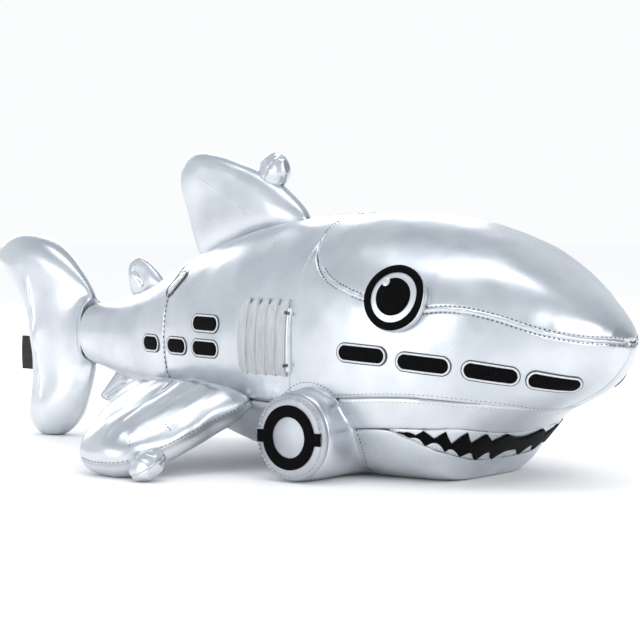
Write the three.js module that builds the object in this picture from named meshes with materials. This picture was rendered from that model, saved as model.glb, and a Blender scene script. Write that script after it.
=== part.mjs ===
// Stuffed toy shark sewn from silver foil fabric.
// Millimetres, +X towards the nose, +Y the shark's left, +Z up. The floor is z = 0.
// Fabric panels lie on one body surface around a stuffing core. Fins are stuffed
// pillows that hinge on the stitching along their roots.

import * as THREE from 'three';
import { mergeVertices } from 'three/addons/utils/BufferGeometryUtils.js';

// ---------------------------------------------------------------- driving sizes

const noseX = 250; // nose tip
const trunkLength = 408; // nose tip to the seam of the tail fin
const trunkHeight = 153; // floor to the top of the head
const trunkHalfWidth = 79; // at the cheeks
const noseHeight = 81; // nose tip above the floor
const tailSeamX = noseX - trunkLength;

const fabricThickness = 2; // foil fabric with its quilted backing
const seamGap = 0.9; // between the edges of two panels
const layerGap = 0.7; // between a piece and what it is sewn on
const stuffingGap = 0.5; // between the fabric and the stuffing
const facetSag = trunkHeight * 0.0072; // how far flat facets cut inside the round body
const hingeGap = 2.2; // between a fin's root and the trunk

const eyeRadius = 17.3;
const eyeRimRadius = 13.4; // inside of the black ring
const pupilRadius = 10.1;
const eyeRaise = 5; // stuffing under the eye
const eyeSpot = { x: noseX - 109, z: trunkHeight * 0.6863 };

const windowHeight = 11.5;
const headWindowLength = 33;
const windowThickness = 1;

const bossRadius = 26;
const bossReach = 16; // how far the barrel stands out from the cheek
const bossX = noseX - 166;
const bossRingOuter = 18.5;
const bossRingInner = 11.7;
const bossTab = 4; // square tabs in front of and behind the ring
const trimThickness = 1; // felt rings and pupils

const gillLength = 41;
const gillHeight = 42;
const gillPleats = 5;
const gillTooth = 3;
const gillThickness = 2.4;
const gillFront = noseX - 183;
const gillMiddleZ = trunkHeight * 0.5229;

const dorsalThickness = 26;
const tailFinThickness = 34;
const pectoralThickness = 32;
const smallFinThickness = 9;
const podRadius = 9.5;
const podLength = 21;

const labelHeight = 23;
const labelLength = 14;
const labelThickness = 1;

// ---------------------------------------------------------------- finishes

const foil = { color: '#c3c8ce', roughness: 0.34, metalness: 0.9 };
const blackFelt = { color: '#0d0d10', roughness: 0.85, metalness: 0 };
const greyPleat = { color: '#b4b8bb', roughness: 0.75, metalness: 0.1 };
const stuffing = { color: '#eeeeea', roughness: 0.95, metalness: 0 };

// ---------------------------------------------------------------- trunk surface

// The trunk's outlines, as shares of its own sizes against the distance from the
// nose: its top and bottom lines by height, and its half width.
const topLine = [
  [0, 0.529],
  [0.01, 0.595],
  [0.044, 0.68],
  [0.11, 0.81],
  [0.184, 0.915],
  [0.27, 0.974],
  [0.368, 1],
  [0.466, 0.993],
  [0.564, 0.967],
  [0.662, 0.902],
  [0.76, 0.804],
  [0.858, 0.68],
  [0.931, 0.621],
  [1, 0.595],
];
const bottomLine = [
  [0, 0.529],
  [0.01, 0.455],
  [0.044, 0.358],
  [0.085, 0.302],
  [0.125, 0.256],
  [0.159, 0.2],
  [0.194, 0.115],
  [0.216, 0.05],
  [0.232, -0.004],
  [0.27, -0.013],
  [0.466, -0.013],
  [0.564, 0.026],
  [0.662, 0.092],
  [0.76, 0.176],
  [0.858, 0.248],
  [0.931, 0.294],
  [1, 0.34],
];
const sideLine = [
  [0, 0],
  [0.01, 0.165],
  [0.044, 0.38],
  [0.11, 0.658],
  [0.184, 0.848],
  [0.27, 0.962],
  [0.368, 1],
  [0.466, 0.975],
  [0.564, 0.899],
  [0.662, 0.785],
  [0.76, 0.646],
  [0.858, 0.468],
  [0.931, 0.342],
  [1, 0.241],
];
const noseLift = noseHeight - topLine[0][1] * trunkHeight;

function clamp(value, low, high) {
  return Math.min(high, Math.max(low, value));
}

function mix(a, b, share) {
  return a + (b - a) * share;
}

// Value at x of a smooth curve through rows of [x, y], level where it turns back.
function smoothCurve(rows) {
  const slopes = rows.map((row, i) => {
    if (i === 0 || i === rows.length - 1) return null;
    const before = (row[1] - rows[i - 1][1]) / (row[0] - rows[i - 1][0]);
    const after = (rows[i + 1][1] - row[1]) / (rows[i + 1][0] - row[0]);
    return before * after <= 0 ? 0 : (2 * before * after) / (before + after);
  });
  const last = rows.length - 1;
  slopes[0] = (rows[1][1] - rows[0][1]) / (rows[1][0] - rows[0][0]);
  slopes[last] = (rows[last][1] - rows[last - 1][1]) / (rows[last][0] - rows[last - 1][0]);
  return (x) => {
    let i = 0;
    while (i < last - 1 && x > rows[i + 1][0]) i += 1;
    const width = rows[i + 1][0] - rows[i][0];
    const t = clamp((x - rows[i][0]) / width, 0, 1);
    const rise = rows[i + 1][1] - rows[i][1];
    const a = slopes[i] * width - rise;
    const b = rise - slopes[i + 1] * width;
    return rows[i][1] + rise * t + t * (1 - t) * (a * (1 - t) + b * t);
  };
}

// A step along the trunk is the root of the share, which keeps the nose round.
const bySteps = (rows) => smoothCurve(rows.map(([share, value]) => [Math.sqrt(share), value]));
const topShare = bySteps(topLine);
const bottomShare = bySteps(bottomLine);
const widthShare = bySteps(sideLine);

const stepAt = (x) => Math.sqrt(clamp((noseX - x) / trunkLength, 0, 1));
const xAt = (step) => noseX - trunkLength * step * step;

function sectionAt(step) {
  const lift = noseLift * (1 - step);
  const top = topShare(step) * trunkHeight + lift;
  const bottom = bottomShare(step) * trunkHeight + lift * Math.max(0, 1 - 3 * step);
  return { x: xAt(step), top, bottom, halfWidth: widthShare(step) * trunkHalfWidth };
}

// Point of the trunk's outside at a step along it and an angle from the back, where
// 180 degrees is the belly and a positive angle is the right side.
function skinPoint(step, degrees) {
  const { x, top, bottom, halfWidth } = sectionAt(step);
  const angle = THREE.MathUtils.degToRad(degrees);
  const across = Math.sin(angle);
  const up = Math.cos(angle);
  const jaw = clamp((x - noseX + 230) / 60, 0, 1) * clamp((noseX - 5 - x) / 60, 0, 1);
  const fullness = up > 0 ? 2.3 : 2.3 + 0.7 * jaw;
  const reach = (Math.abs(across) ** fullness + Math.abs(up) ** fullness) ** (-1 / fullness);
  const z = (top + bottom) / 2 + ((top - bottom) / 2) * reach * up;
  return new THREE.Vector3(x, -halfWidth * reach * across, Math.max(0, z));
}

function skinNormal(step, degrees) {
  const safe = clamp(step, 0.03, 0.995);
  const along = skinPoint(safe + 0.004, degrees).sub(skinPoint(safe - 0.004, degrees));
  const around = skinPoint(safe, degrees + 0.6).sub(skinPoint(safe, degrees - 0.6));
  return along.cross(around).normalize();
}

// The same point lifted off the surface; a negative lift goes inside.
function bodyPoint(step, degrees, lift = 0) {
  return skinPoint(step, degrees).addScaledVector(skinNormal(step, degrees), lift);
}

// Angle at which the trunk's right side has a height, and where its lower outline has it.
function angleAtHeight(step, z) {
  let low = 0;
  let high = 180;
  for (let i = 0; i < 30; i += 1) {
    const middle = (low + high) / 2;
    if (skinPoint(step, middle).z > z) low = middle;
    else high = middle;
  }
  return (low + high) / 2;
}

function frontStepAtHeight(z) {
  let low = 0.02;
  let high = 0.5;
  for (let i = 0; i < 30; i += 1) {
    const middle = (low + high) / 2;
    if (sectionAt(middle).bottom > z) low = middle;
    else high = middle;
  }
  return (low + high) / 2;
}

function sidePoint(x, z, lift = 0) {
  const step = stepAt(x);
  return bodyPoint(step, angleAtHeight(step, z), lift);
}

// ---------------------------------------------------------------- mesh helpers

function welded(geometry) {
  geometry.deleteAttribute('normal');
  geometry.deleteAttribute('uv');
  return mergeVertices(geometry, 1e-4);
}

function signedVolume(geometry) {
  const { array } = geometry.attributes.position;
  const { array: index } = geometry.index;
  const corner = (i) => new THREE.Vector3().fromArray(array, 3 * index[i]);
  let sum = 0;
  for (let i = 0; i < index.length; i += 3) {
    sum += corner(i).dot(corner(i + 1).cross(corner(i + 2)));
  }
  return sum / 6;
}

function facingOut(geometry) {
  if (signedVolume(geometry) < 0) {
    const { array } = geometry.index;
    for (let i = 0; i < array.length; i += 3) {
      [array[i + 1], array[i + 2]] = [array[i + 2], array[i + 1]];
    }
  }
  geometry.computeVertexNormals();
  return geometry;
}

// Moves every vertex of a closed geometry through place(vertex).
function reshaped(geometry, place) {
  const closed = welded(geometry);
  const { position } = closed.attributes;
  const vertex = new THREE.Vector3();
  for (let i = 0; i < position.count; i += 1) {
    const moved = place(vertex.fromBufferAttribute(position, i).clone());
    position.setXYZ(i, moved.x, moved.y, moved.z);
  }
  return facingOut(closed);
}

function mirrored(geometry) {
  const copy = geometry.clone();
  copy.scale(1, -1, 1);
  return facingOut(copy);
}

const shark = new THREE.Group();

function addPart(name, geometry, finish) {
  const mesh = new THREE.Mesh(geometry, new THREE.MeshStandardMaterial(finish));
  mesh.name = name;
  shark.add(mesh);
}

function addPair(name, rightGeometry, finish) {
  addPart(`${name}_right`, rightGeometry, finish);
  addPart(`${name}_left`, mirrored(rightGeometry), finish);
}

// A sheet of fabric on the trunk. course(a, b) gives [step, degrees], a and b from 0 to 1.
function fabricPanel(course, lengthCells, widthCells, thickness = fabricThickness, lift = 0) {
  const box = new THREE.BoxGeometry(1, 1, 1, lengthCells, widthCells, 1);
  return reshaped(box, (v) => {
    const [step, degrees] = course(v.x + 0.5, v.y + 0.5);
    return bodyPoint(step, degrees, lift - (0.5 - v.z) * thickness);
  });
}

// Places a flat shape on the trunk around a spot: l forwards, m upwards, lift outwards.
function wrapper(spot, tiltDegrees = 0) {
  const step = stepAt(spot.x);
  const degrees = angleAtHeight(step, spot.z);
  const perStep = skinPoint(step + 0.01, degrees).sub(skinPoint(step - 0.01, degrees)).divideScalar(0.02);
  const perDegree = skinPoint(step, degrees + 1).sub(skinPoint(step, degrees - 1)).divideScalar(2);
  const outwards = skinNormal(step, degrees);
  const level = new THREE.Vector3(0, 0, 1).cross(outwards).normalize();
  const forwards = level.applyAxisAngle(outwards, THREE.MathUtils.degToRad(tiltDegrees));
  const upwards = outwards.clone().cross(forwards);
  const centre = skinPoint(step, degrees);
  const stepSquare = perStep.lengthSq();
  const degreeSquare = perDegree.lengthSq();
  const shear = perStep.dot(perDegree);
  const area = stepSquare * degreeSquare - shear * shear;
  return (l, m, lift) => {
    const target = centre.clone().addScaledVector(forwards, l).addScaledVector(upwards, m);
    let atStep = step;
    let atDegrees = degrees;
    for (let i = 0; i < 4; i += 1) {
      const move = target.clone().sub(skinPoint(atStep, atDegrees));
      const alongStep = move.dot(perStep);
      const alongDegree = move.dot(perDegree);
      atStep += (alongStep * degreeSquare - alongDegree * shear) / area;
      atDegrees += (alongDegree * stepSquare - alongStep * shear) / area;
    }
    return bodyPoint(atStep, atDegrees, lift);
  };
}

function wrappedLathe(profile, wrap, segments = 24) {
  const points = profile.map(([radius, lift]) => new THREE.Vector2(radius, lift));
  return reshaped(new THREE.LatheGeometry(points, segments), (v) => wrap(v.x, v.z, v.y));
}

// ---------------------------------------------------------------- trunk panels

const gapSteps = (step) => seamGap / 2 / (2 * trunkLength * Math.max(step, 0.05));

function gapDegrees(step) {
  const { top, bottom, halfWidth } = sectionAt(step);
  const girth = (Math.PI * (halfWidth + (top - bottom) / 2)) / 2;
  return ((seamGap / 2) * 180) / (girth * 2);
}

const panelNoseStep = 0.04;
const noseSeamDegrees = 76;
const crownBackStep = stepAt(noseX - 177.7);

// The crown seam by distance behind the nose and angle from the back: it runs from the
// nose below the eye and turns up at a round corner behind it.
const crownSeamRows = [
  [0, noseSeamDegrees],
  [16.3, 78],
  [29.7, 78.5],
  [52.9, 74.5],
  [86.3, 70],
  [110.3, 68.5],
  [127.9, 67.5],
  [150.3, 63],
  [163, 58],
  [172.4, 50],
  [177.7, 38],
];
const crownSeam = smoothCurve(
  crownSeamRows.map(([distance, degrees]) => [stepAt(noseX - distance), degrees]),
);

// A level seam's height from rows of distance behind the nose and share of the trunk's height.
function seamHeight(rows) {
  const points = rows.map(([distance, share]) => [noseX - distance, share * trunkHeight]);
  return smoothCurve(points.reverse());
}
const jawSeamHeight = seamHeight([
  [35, 0.2614],
  [60, 0.3072],
  [100, 0.3301],
  [160, 0.3072],
]);
const upperLipHeight = seamHeight([
  [67, 0.1699],
  [70, 0.1928],
  [75, 0.2092],
  [85, 0.2157],
  [120, 0.2092],
  [160, 0.183],
]);
const lowerLipHeight = seamHeight([
  [80, 0.0523],
  [84, 0.0621],
  [86, 0.1013],
  [90, 0.1307],
  [100, 0.1667],
  [118, 0.2059],
  [160, 0.183],
]);
const bellySeamHeight = trunkHeight * 0.2745;
const gillSeamStep = stepAt(noseX - 182.1);
const rearSeamStep = stepAt(noseX - 300.4);
const jawBackX = noseX - 146;
const mouthBackX = noseX - 116;
const snoutX = noseX - 45; // about the front of the level seams

// Point of a level seam round the snout: forwards is 0 at rearX and 1 in the middle
// in front. shift moves it up or down.
function levelSeam(heightAt, rearX, forwards, shift) {
  let z = heightAt(mix(rearX, snoutX, forwards)) + shift;
  let step = 0;
  for (let i = 0; i < 12; i += 1) {
    step = mix(stepAt(rearX), frontStepAtHeight(z), forwards);
    z = mix(z, heightAt(xAt(step)) + shift, 0.4);
  }
  return [step, forwards > 0.9999 ? 180 : angleAtHeight(step, z)];
}

const easeBack = (a) => 1 - (1 - a) ** 1.5;

function crownCourse(a, b) {
  const side = 2 * b - 1;
  const step = mix(panelNoseStep, crownBackStep - gapSteps(crownBackStep), easeBack(a));
  return [step, side * (crownSeam(step) - gapDegrees(step))];
}

// The cheek's lower edge is the middle of the snout in front, then the jaw seam, then
// a line over the boss.
const cheekFrontShare = 0.3;
const cheekJawShare = 0.86;

function cheekLowerEdge(a) {
  const shift = seamGap / 2;
  const front = levelSeam(jawSeamHeight, jawBackX, 1, shift)[0];
  if (a <= cheekFrontShare) {
    const step = mix(panelNoseStep, front, a / cheekFrontShare);
    return [step, 180 - gapDegrees(step)];
  }
  if (a <= cheekJawShare) {
    const share = (a - cheekFrontShare) / (cheekJawShare - cheekFrontShare);
    const [step, degrees] = levelSeam(jawSeamHeight, jawBackX, 1 - share * share, shift);
    return [step, Math.min(degrees, 180 - gapDegrees(step))];
  }
  const share = (a - cheekJawShare) / (1 - cheekJawShare);
  const step = mix(stepAt(jawBackX), gillSeamStep - gapSteps(gillSeamStep), share);
  return [step, angleAtHeight(step, jawSeamHeight(jawBackX) + shift)];
}

function cheekCourse(a, b) {
  const back = mix(crownBackStep, gillSeamStep - gapSteps(gillSeamStep), b);
  const upperStep = mix(panelNoseStep, back - 3 * gapSteps(back) * (1 - b), easeBack(a));
  const upperDegrees = crownSeam(Math.min(upperStep, crownBackStep)) + 1.5 * gapDegrees(upperStep);
  const [lowerStep, lowerDegrees] = cheekLowerEdge(a);
  return [mix(upperStep, lowerStep, b), mix(upperDegrees, lowerDegrees, b)];
}

function flankCourse(a, b) {
  const gap = gapSteps(crownBackStep);
  const upper = mix(crownBackStep + gap, rearSeamStep - gap, a);
  const lower = mix(gillSeamStep + gap, rearSeamStep - gap, a);
  const step = mix(upper, lower, clamp((b - 0.15) * 4, 0, 1));
  const edge = angleAtHeight(step, bellySeamHeight) - gapDegrees(step);
  return [step, mix(gapDegrees(step), edge, b)];
}

function tailSectionCourse(a, b) {
  const step = mix(rearSeamStep + gapSteps(rearSeamStep), 1, a);
  return [step, mix(gapDegrees(step), 180 - gapDegrees(step), b)];
}

function bellyCourse(a, b) {
  const front = stepAt(jawBackX);
  const step = mix(front + gapSteps(front), rearSeamStep - gapSteps(rearSeamStep), a);
  const edge = angleAtHeight(step, bellySeamHeight) + gapDegrees(step);
  return [step, mix(edge, 360 - edge, b)];
}

// A band round the front of the snout between two level seams. a runs from the right
// side round the front to the left.
function bandCourse(upperHeight, lowerHeight, rearX, inset) {
  return (a, b) => {
    const side = 2 * a - 1;
    const forwards = 1 - side * side;
    const heightAt = (x) => mix(upperHeight(x) - inset, lowerHeight(x) + inset, b);
    const [step, degrees] = levelSeam(heightAt, rearX, forwards, 0);
    return [step, side <= 0 ? degrees : 360 - degrees];
  };
}

function chinCourse(a, b) {
  const [step, degrees] = levelSeam(lowerLipHeight, jawBackX, 1 - a * a, -seamGap / 2);
  const edge = Math.min(degrees, 180 - gapDegrees(step));
  return [step + gapSteps(step) * (1 - 2 * a), mix(edge, 360 - edge, b)];
}

const coreDepth = fabricThickness + stuffingGap + facetSag;
const core = reshaped(new THREE.SphereGeometry(1, 28, 26), (v) => {
  const share = Math.acos(clamp(v.y, -1, 1)) / Math.PI;
  const degrees = THREE.MathUtils.radToDeg(Math.atan2(v.z, v.x));
  if (share < 1e-3) return new THREE.Vector3(noseX - coreDepth, 0, noseHeight);
  const step = mix(0.03, 0.99, share);
  if (share > 0.999) {
    const { x, top, bottom } = sectionAt(step);
    return new THREE.Vector3(x, 0, (top + bottom) / 2);
  }
  return bodyPoint(step, degrees, -coreDepth);
});

addPart('stuffing_core', core, stuffing);
const jawCourse = bandCourse(jawSeamHeight, upperLipHeight, jawBackX, seamGap / 2);
addPart('crown_panel', fabricPanel(crownCourse, 13, 14), foil);
addPair('cheek_panel', fabricPanel(cheekCourse, 16, 6), foil);
addPair('flank_panel', fabricPanel(flankCourse, 6, 9), foil);
addPair('tail_section', fabricPanel(tailSectionCourse, 5, 9), foil);
addPart('belly_panel', fabricPanel(bellyCourse, 7, 12), foil);
addPart('chin_panel', fabricPanel(chinCourse, 8, 12), foil);
addPart('jaw_band', fabricPanel(jawCourse, 24, 2), foil);

// ---------------------------------------------------------------- mouth

const mouthPoints = 12; // black points along each edge
const mouthCourse = bandCourse(upperLipHeight, lowerLipHeight, mouthBackX, seamGap * 0.8);

addPart('mouth_panel', fabricPanel(mouthCourse, 24, 2), foil);

// Black cloth between the teeth: wide at each of its points, pinched between two teeth.
function zigzagCourse(a, b) {
  const pinched = Math.round(a * 2 * mouthPoints) % 2 === 0;
  const along = 1 - Math.abs(2 * a - 1);
  const half = pinched ? mix(0.07, 0.17, along) : 0.4 * clamp(6 * along, 0.3, 1);
  const across = 0.48 + (2 * b - 1) * half;
  const forwards = 0.06 + 0.55 * along + 0.39 * along * along;
  const upright = Math.min(1, 3 * forwards) * Math.min(1, 4 * (1 - forwards));
  const share = (forwards + 0.1 * (across - 0.1) * upright) / 2;
  return mouthCourse(a < 0.5 ? share : 1 - share, across);
}
const zigzag = fabricPanel(zigzagCourse, 2 * mouthPoints, 1, trimThickness, layerGap + trimThickness);
addPart('mouth_zigzag', zigzag, blackFelt);

// ---------------------------------------------------------------- eyes

const eyeWrap = wrapper(eyeSpot);
const eyeTop = layerGap + eyeRaise;
const padProfile = [
  [0, layerGap],
  [eyeRadius * 0.55, layerGap],
  [eyeRadius + 1.5, layerGap],
  [eyeRadius + 1.5, eyeTop - 2],
  [eyeRadius * 0.9, eyeTop],
  [eyeRadius * 0.5, eyeTop],
  [0, eyeTop],
];
const eyeTrim = eyeTop + 0.5;
const ringProfile = [
  [eyeRimRadius, eyeTrim],
  [eyeRadius, eyeTrim],
  [eyeRadius, eyeTrim + trimThickness],
  [eyeRimRadius, eyeTrim + trimThickness],
  [eyeRimRadius, eyeTrim],
];
const pupilProfile = [
  [0, eyeTrim],
  [pupilRadius, eyeTrim],
  [pupilRadius, eyeTrim + trimThickness],
  [0, eyeTrim + trimThickness],
];
addPair('eye_pad', wrappedLathe(padProfile, eyeWrap), foil);
addPair('eye_ring', wrappedLathe(ringProfile, eyeWrap), blackFelt);
addPair('eye_pupil', wrappedLathe(pupilProfile, eyeWrap), blackFelt);

// ---------------------------------------------------------------- windows and patches

const stadiumColumns = 6;
const patchGap = layerGap + 0.4;

// A strip with round ends, as columns of two corners each.
function stadium(length, height, wrap, thickness) {
  const radius = height / 2;
  const straight = length / 2 - radius;
  const stations = [-1, -0.72, 0, null, 0, 0.72, 1];
  const box = new THREE.BoxGeometry(1, 1, 1, stadiumColumns, 1, 1);
  return reshaped(box, (v) => {
    const column = Math.round((v.x + 0.5) * stadiumColumns);
    const station = stations[column];
    const end = column < stadiumColumns / 2 ? -straight : straight;
    const l = station === null ? 0 : end + station * radius;
    const half = radius * Math.max(0.35, Math.sqrt(1 - (station ?? 0) ** 2));
    return wrap(l, 2 * v.y * half, patchGap + (v.z + 0.5) * thickness);
  });
}

function addWindow(name, x, z, length, tilt) {
  const wrap = wrapper({ x, z }, tilt);
  addPair(name, stadium(length, windowHeight, wrap, windowThickness), blackFelt);
}

// x, z, length and tilt of each window. Those of the head are set out from the nose,
// and those at the rear from the tail seam.
const headWindows = [
  [noseX - 29, trunkHeight * 0.3922, headWindowLength, -9],
  [noseX - 56, trunkHeight * 0.4281, headWindowLength, -8],
  [noseX - 91, trunkHeight * 0.4575, headWindowLength, -5],
  [noseX - 129, trunkHeight * 0.4837, headWindowLength, -3],
];
const rearWindowZ = trunkHeight * 0.4641;
const rearRowGap = 3.5;
const rearWindows = [
  [noseX - 256, rearWindowZ, 28, 0],
  [noseX - 286, rearWindowZ, 21, 0],
  [noseX - 315, rearWindowZ, 19, 0],
  [noseX - 256, rearWindowZ + windowHeight + rearRowGap, 28, 0],
];
headWindows.forEach(([x, z, length, tilt], i) => addWindow(`head_window_${i + 1}`, x, z, length, tilt));
rearWindows.forEach(([x, z, length, tilt], i) => addWindow(`rear_window_${i + 1}`, x, z, length, tilt));

const patchSpot = { x: noseX - 296, z: trunkHeight * 0.7124 };
const patchTilt = 62;
const patchLength = 22;
const patchWidth = 7;
const patch = stadium(patchLength, patchWidth, wrapper(patchSpot, patchTilt), windowThickness);
addPair('back_patch', patch, foil);

// ---------------------------------------------------------------- gill blocks

// Overlapping pleats: along the block each pleat's upper edge and outer face rise
// towards the front, then drop back to the next one.
const pleatLength = gillLength / gillPleats;
const gillStations = [];
for (let pleat = 0; pleat < gillPleats; pleat += 1) {
  gillStations.push({ l: pleat * pleatLength + 0.4, rise: 0 });
  gillStations.push({ l: (pleat + 1) * pleatLength, rise: 1 });
}
const gillWrap = wrapper({ x: gillFront - gillLength / 2, z: gillMiddleZ });
const gillBox = new THREE.BoxGeometry(1, 1, 1, gillStations.length - 1, 5, 1);
const gill = reshaped(gillBox, (v) => {
  const station = gillStations[Math.round((v.x + 0.5) * (gillStations.length - 1))];
  const l = station.l - gillLength / 2;
  const corner = station.l < 1 ? 3 : 0;
  const half = gillHeight / 2 - corner;
  const top = v.y > 0.49 ? gillTooth * (station.rise - 0.5) : 0;
  const proud = v.z > 0 ? gillThickness * (0.6 + 0.4 * station.rise) : 0;
  return gillWrap(l, 2 * v.y * half + top, layerGap + proud);
});
addPair('gill_block', gill, greyPleat);

// ---------------------------------------------------------------- bosses

const bossZ = bossRadius;
const bossInnerY = sidePoint(bossX, noseHeight * 0.5).y;
const bossFaceY = bossInnerY - bossReach;

// Barrel: its inner end follows the cheek, its outer end is a rounded edge.
const barrel = reshaped(new THREE.SphereGeometry(1, 24, 14), (v) => {
  const polar = Math.acos(clamp(v.y, -1, 1)) / Math.PI;
  const radial = clamp(2.6 * Math.min(polar, 1 - polar), 0, 1);
  const spin = Math.atan2(v.z, v.x);
  const x = bossX + bossRadius * radial * Math.cos(spin);
  const z = bossZ + bossRadius * radial * Math.sin(spin);
  const inner = sidePoint(x, Math.max(z, 1.5)).y - layerGap - 0.5;
  const edge = clamp((Math.min(polar, 1 - polar) - 0.38) * 8.5, 0, 1);
  return new THREE.Vector3(x, mix(polar < 0.5 ? bossFaceY : inner, (bossFaceY + inner) / 2, edge), z);
});

const bossDiscRadius = bossRadius - 1.5;
const discStart = layerGap;
const discProfile = [
  [0, discStart],
  [bossDiscRadius - 1, discStart],
  [bossDiscRadius, discStart + 1.5],
  [bossDiscRadius - 2, discStart + 3.5],
  [bossRingOuter + bossTab, discStart + 4],
  [0, discStart + 4],
];
const bossWrap = (l, m, lift) => new THREE.Vector3(bossX + l, bossFaceY - lift, bossZ + m);
const ringLift = discStart + 4.5;

function bossRingOutline() {
  const half = bossTab * 0.9;
  const start = Math.asin(half / bossRingOuter);
  const outline = new THREE.Shape();
  outline.absarc(0, 0, bossRingOuter, start, Math.PI - start, false);
  outline.lineTo(-bossRingOuter - bossTab, half);
  outline.lineTo(-bossRingOuter - bossTab, -half);
  outline.absarc(0, 0, bossRingOuter, Math.PI + start, 2 * Math.PI - start, false);
  outline.lineTo(bossRingOuter + bossTab, -half);
  outline.lineTo(bossRingOuter + bossTab, half);
  const hole = new THREE.Path();
  hole.absarc(0, 0, bossRingInner, 0, 2 * Math.PI, true);
  outline.holes.push(hole);
  return outline;
}
const bossRing = new THREE.ExtrudeGeometry(bossRingOutline(), {
  depth: trimThickness,
  bevelEnabled: false,
  curveSegments: 12,
});
addPair('boss_barrel', barrel, foil);
addPair('boss_disc', wrappedLathe(discProfile, bossWrap), foil);
addPair('boss_ring', reshaped(bossRing, (v) => bossWrap(v.x, v.y, ringLift + v.z)), blackFelt);

// ---------------------------------------------------------------- fins

// A stuffed pillow inside a closed outline. spine is the line from which it is
// fullest, place(u, v, w) sets the outline's plane in the shark.
function stuffedFin({ outline, spine, thickness, place, spokes = 26, rings = 8 }) {
  const points = outline.map(([u, v]) => new THREE.Vector3(u, v, 0));
  const edge = new THREE.CatmullRomCurve3(points, true, 'centripetal');
  const from = new THREE.Vector3(...spine[0], 0);
  const line = new THREE.Line3(from, new THREE.Vector3(...spine[1], 0));
  return reshaped(new THREE.SphereGeometry(1, spokes, rings), (v) => {
    const reach = Math.hypot(v.x, v.z);
    if (reach < 1e-4) {
      const middle = line.getCenter(new THREE.Vector3());
      return place(middle.x, middle.y, Math.sign(v.y) * thickness / 2);
    }
    const share = (Math.atan2(v.z, v.x) / (2 * Math.PI) + 1) % 1;
    const rim = edge.getPoint(share);
    const root = line.closestPointToPoint(rim, true, new THREE.Vector3());
    const point = root.lerp(rim, reach);
    const full = Math.sign(v.y) * Math.abs(v.y) ** 0.8;
    return place(point.x, point.y, (full * thickness) / 2);
  });
}

const upright = (u, v, w) => new THREE.Vector3(u, w, Math.max(v, 0));
const backZ = (x) => sectionAt(stepAt(x)).top + hingeGap;
const bellyZ = (x) => sectionAt(stepAt(x)).bottom - hingeGap;

// Dorsal fin: its root follows the back, the rest is set out from the root's front.
const dorsalFrontX = noseX - 228;
const dorsalBackX = dorsalFrontX - 82;
const dorsalHeight = 43;
const dorsalRootZ = backZ(dorsalFrontX);
const dorsalOutline = [
  [dorsalFrontX, backZ(dorsalFrontX) + 1],
  [dorsalFrontX - 20, dorsalRootZ + dorsalHeight * 0.42],
  [dorsalFrontX - 43, dorsalRootZ + dorsalHeight * 0.68],
  [dorsalFrontX - 84, dorsalRootZ + dorsalHeight * 0.93],
  [dorsalFrontX - 97, dorsalRootZ + dorsalHeight * 0.85],
  [dorsalFrontX - 102, dorsalRootZ + dorsalHeight * 0.54],
  [dorsalFrontX - 96, dorsalRootZ],
  [dorsalBackX - 2, backZ(dorsalBackX) + 4],
  [dorsalBackX + 9, backZ(dorsalBackX + 9) + 1],
  [(dorsalFrontX + dorsalBackX) / 2, backZ((dorsalFrontX + dorsalBackX) / 2) + 1],
];
const dorsal = stuffedFin({
  outline: dorsalOutline,
  spine: [
    [dorsalFrontX - 42, dorsalRootZ + 2],
    [dorsalFrontX - 82, dorsalRootZ + dorsalHeight * 0.6],
  ],
  thickness: dorsalThickness,
  place: upright,
});
addPart('dorsal_fin', dorsal, foil);

// Tail fin: a crescent on a round root.
const tailRootZ = trunkHeight * 0.4706;
const tailLength = 92.6; // from the tail seam to the rearmost point of the upper lobe
const tailLobeRise = 64; // of the upper lobe above the root
const tailTopZ = tailRootZ + tailLobeRise;
const behind = (distance) => tailSeamX - distance;
const tailOutline = [
  [behind(hingeGap), tailRootZ],
  [behind(8), tailRootZ + 24],
  [behind(30), tailTopZ - 12],
  [behind(48), tailTopZ - 2],
  [behind(76), tailTopZ],
  [behind(tailLength), tailTopZ - 13],
  [behind(78), tailTopZ - 32],
  [behind(63), tailRootZ + 14],
  [behind(56), tailRootZ - 12],
  [behind(56), 30],
  [behind(59), 10],
  [behind(51), 0],
  [behind(35), 0],
  [behind(19), 13],
  [behind(9), 34],
  [behind(6), tailRootZ - 20],
];
const tailFin = stuffedFin({
  outline: tailOutline,
  spine: [
    [behind(42), 26],
    [behind(55), tailTopZ - 28],
  ],
  thickness: tailFinThickness,
  place: upright,
  spokes: 30,
});
addPart('tail_fin', tailFin, foil);

const label = new THREE.BoxGeometry(labelLength, labelThickness, labelHeight);
const labelRootX = behind(57.5); // the rear edge of the tail fin beside the label
label.translate(labelRootX - hingeGap - labelLength / 2, 0, tailRootZ - 17);
addPart('woven_label', facingOut(welded(label)), blackFelt);

// Small fins above and below the tail section. ahead(distance) is in front of the tail seam.
const ahead = (distance) => tailSeamX + distance;
const backAhead = (distance) => backZ(ahead(distance));
const bellyAhead = (distance) => bellyZ(ahead(distance));
const secondDorsal = stuffedFin({
  outline: [
    [ahead(59), backAhead(59)],
    [ahead(50), backAhead(59) + 10],
    [ahead(37), backAhead(59) + 16],
    [ahead(30), backAhead(59) + 11],
    [ahead(32), backAhead(36) + 3],
    [ahead(36), backAhead(36)],
    [ahead(48), backAhead(48)],
  ],
  spine: [
    [ahead(46), backAhead(48) + 4],
    [ahead(39), backAhead(48) + 9],
  ],
  thickness: smallFinThickness,
  place: upright,
  spokes: 16,
  rings: 6,
});
addPart('second_dorsal_fin', secondDorsal, foil);

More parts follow.
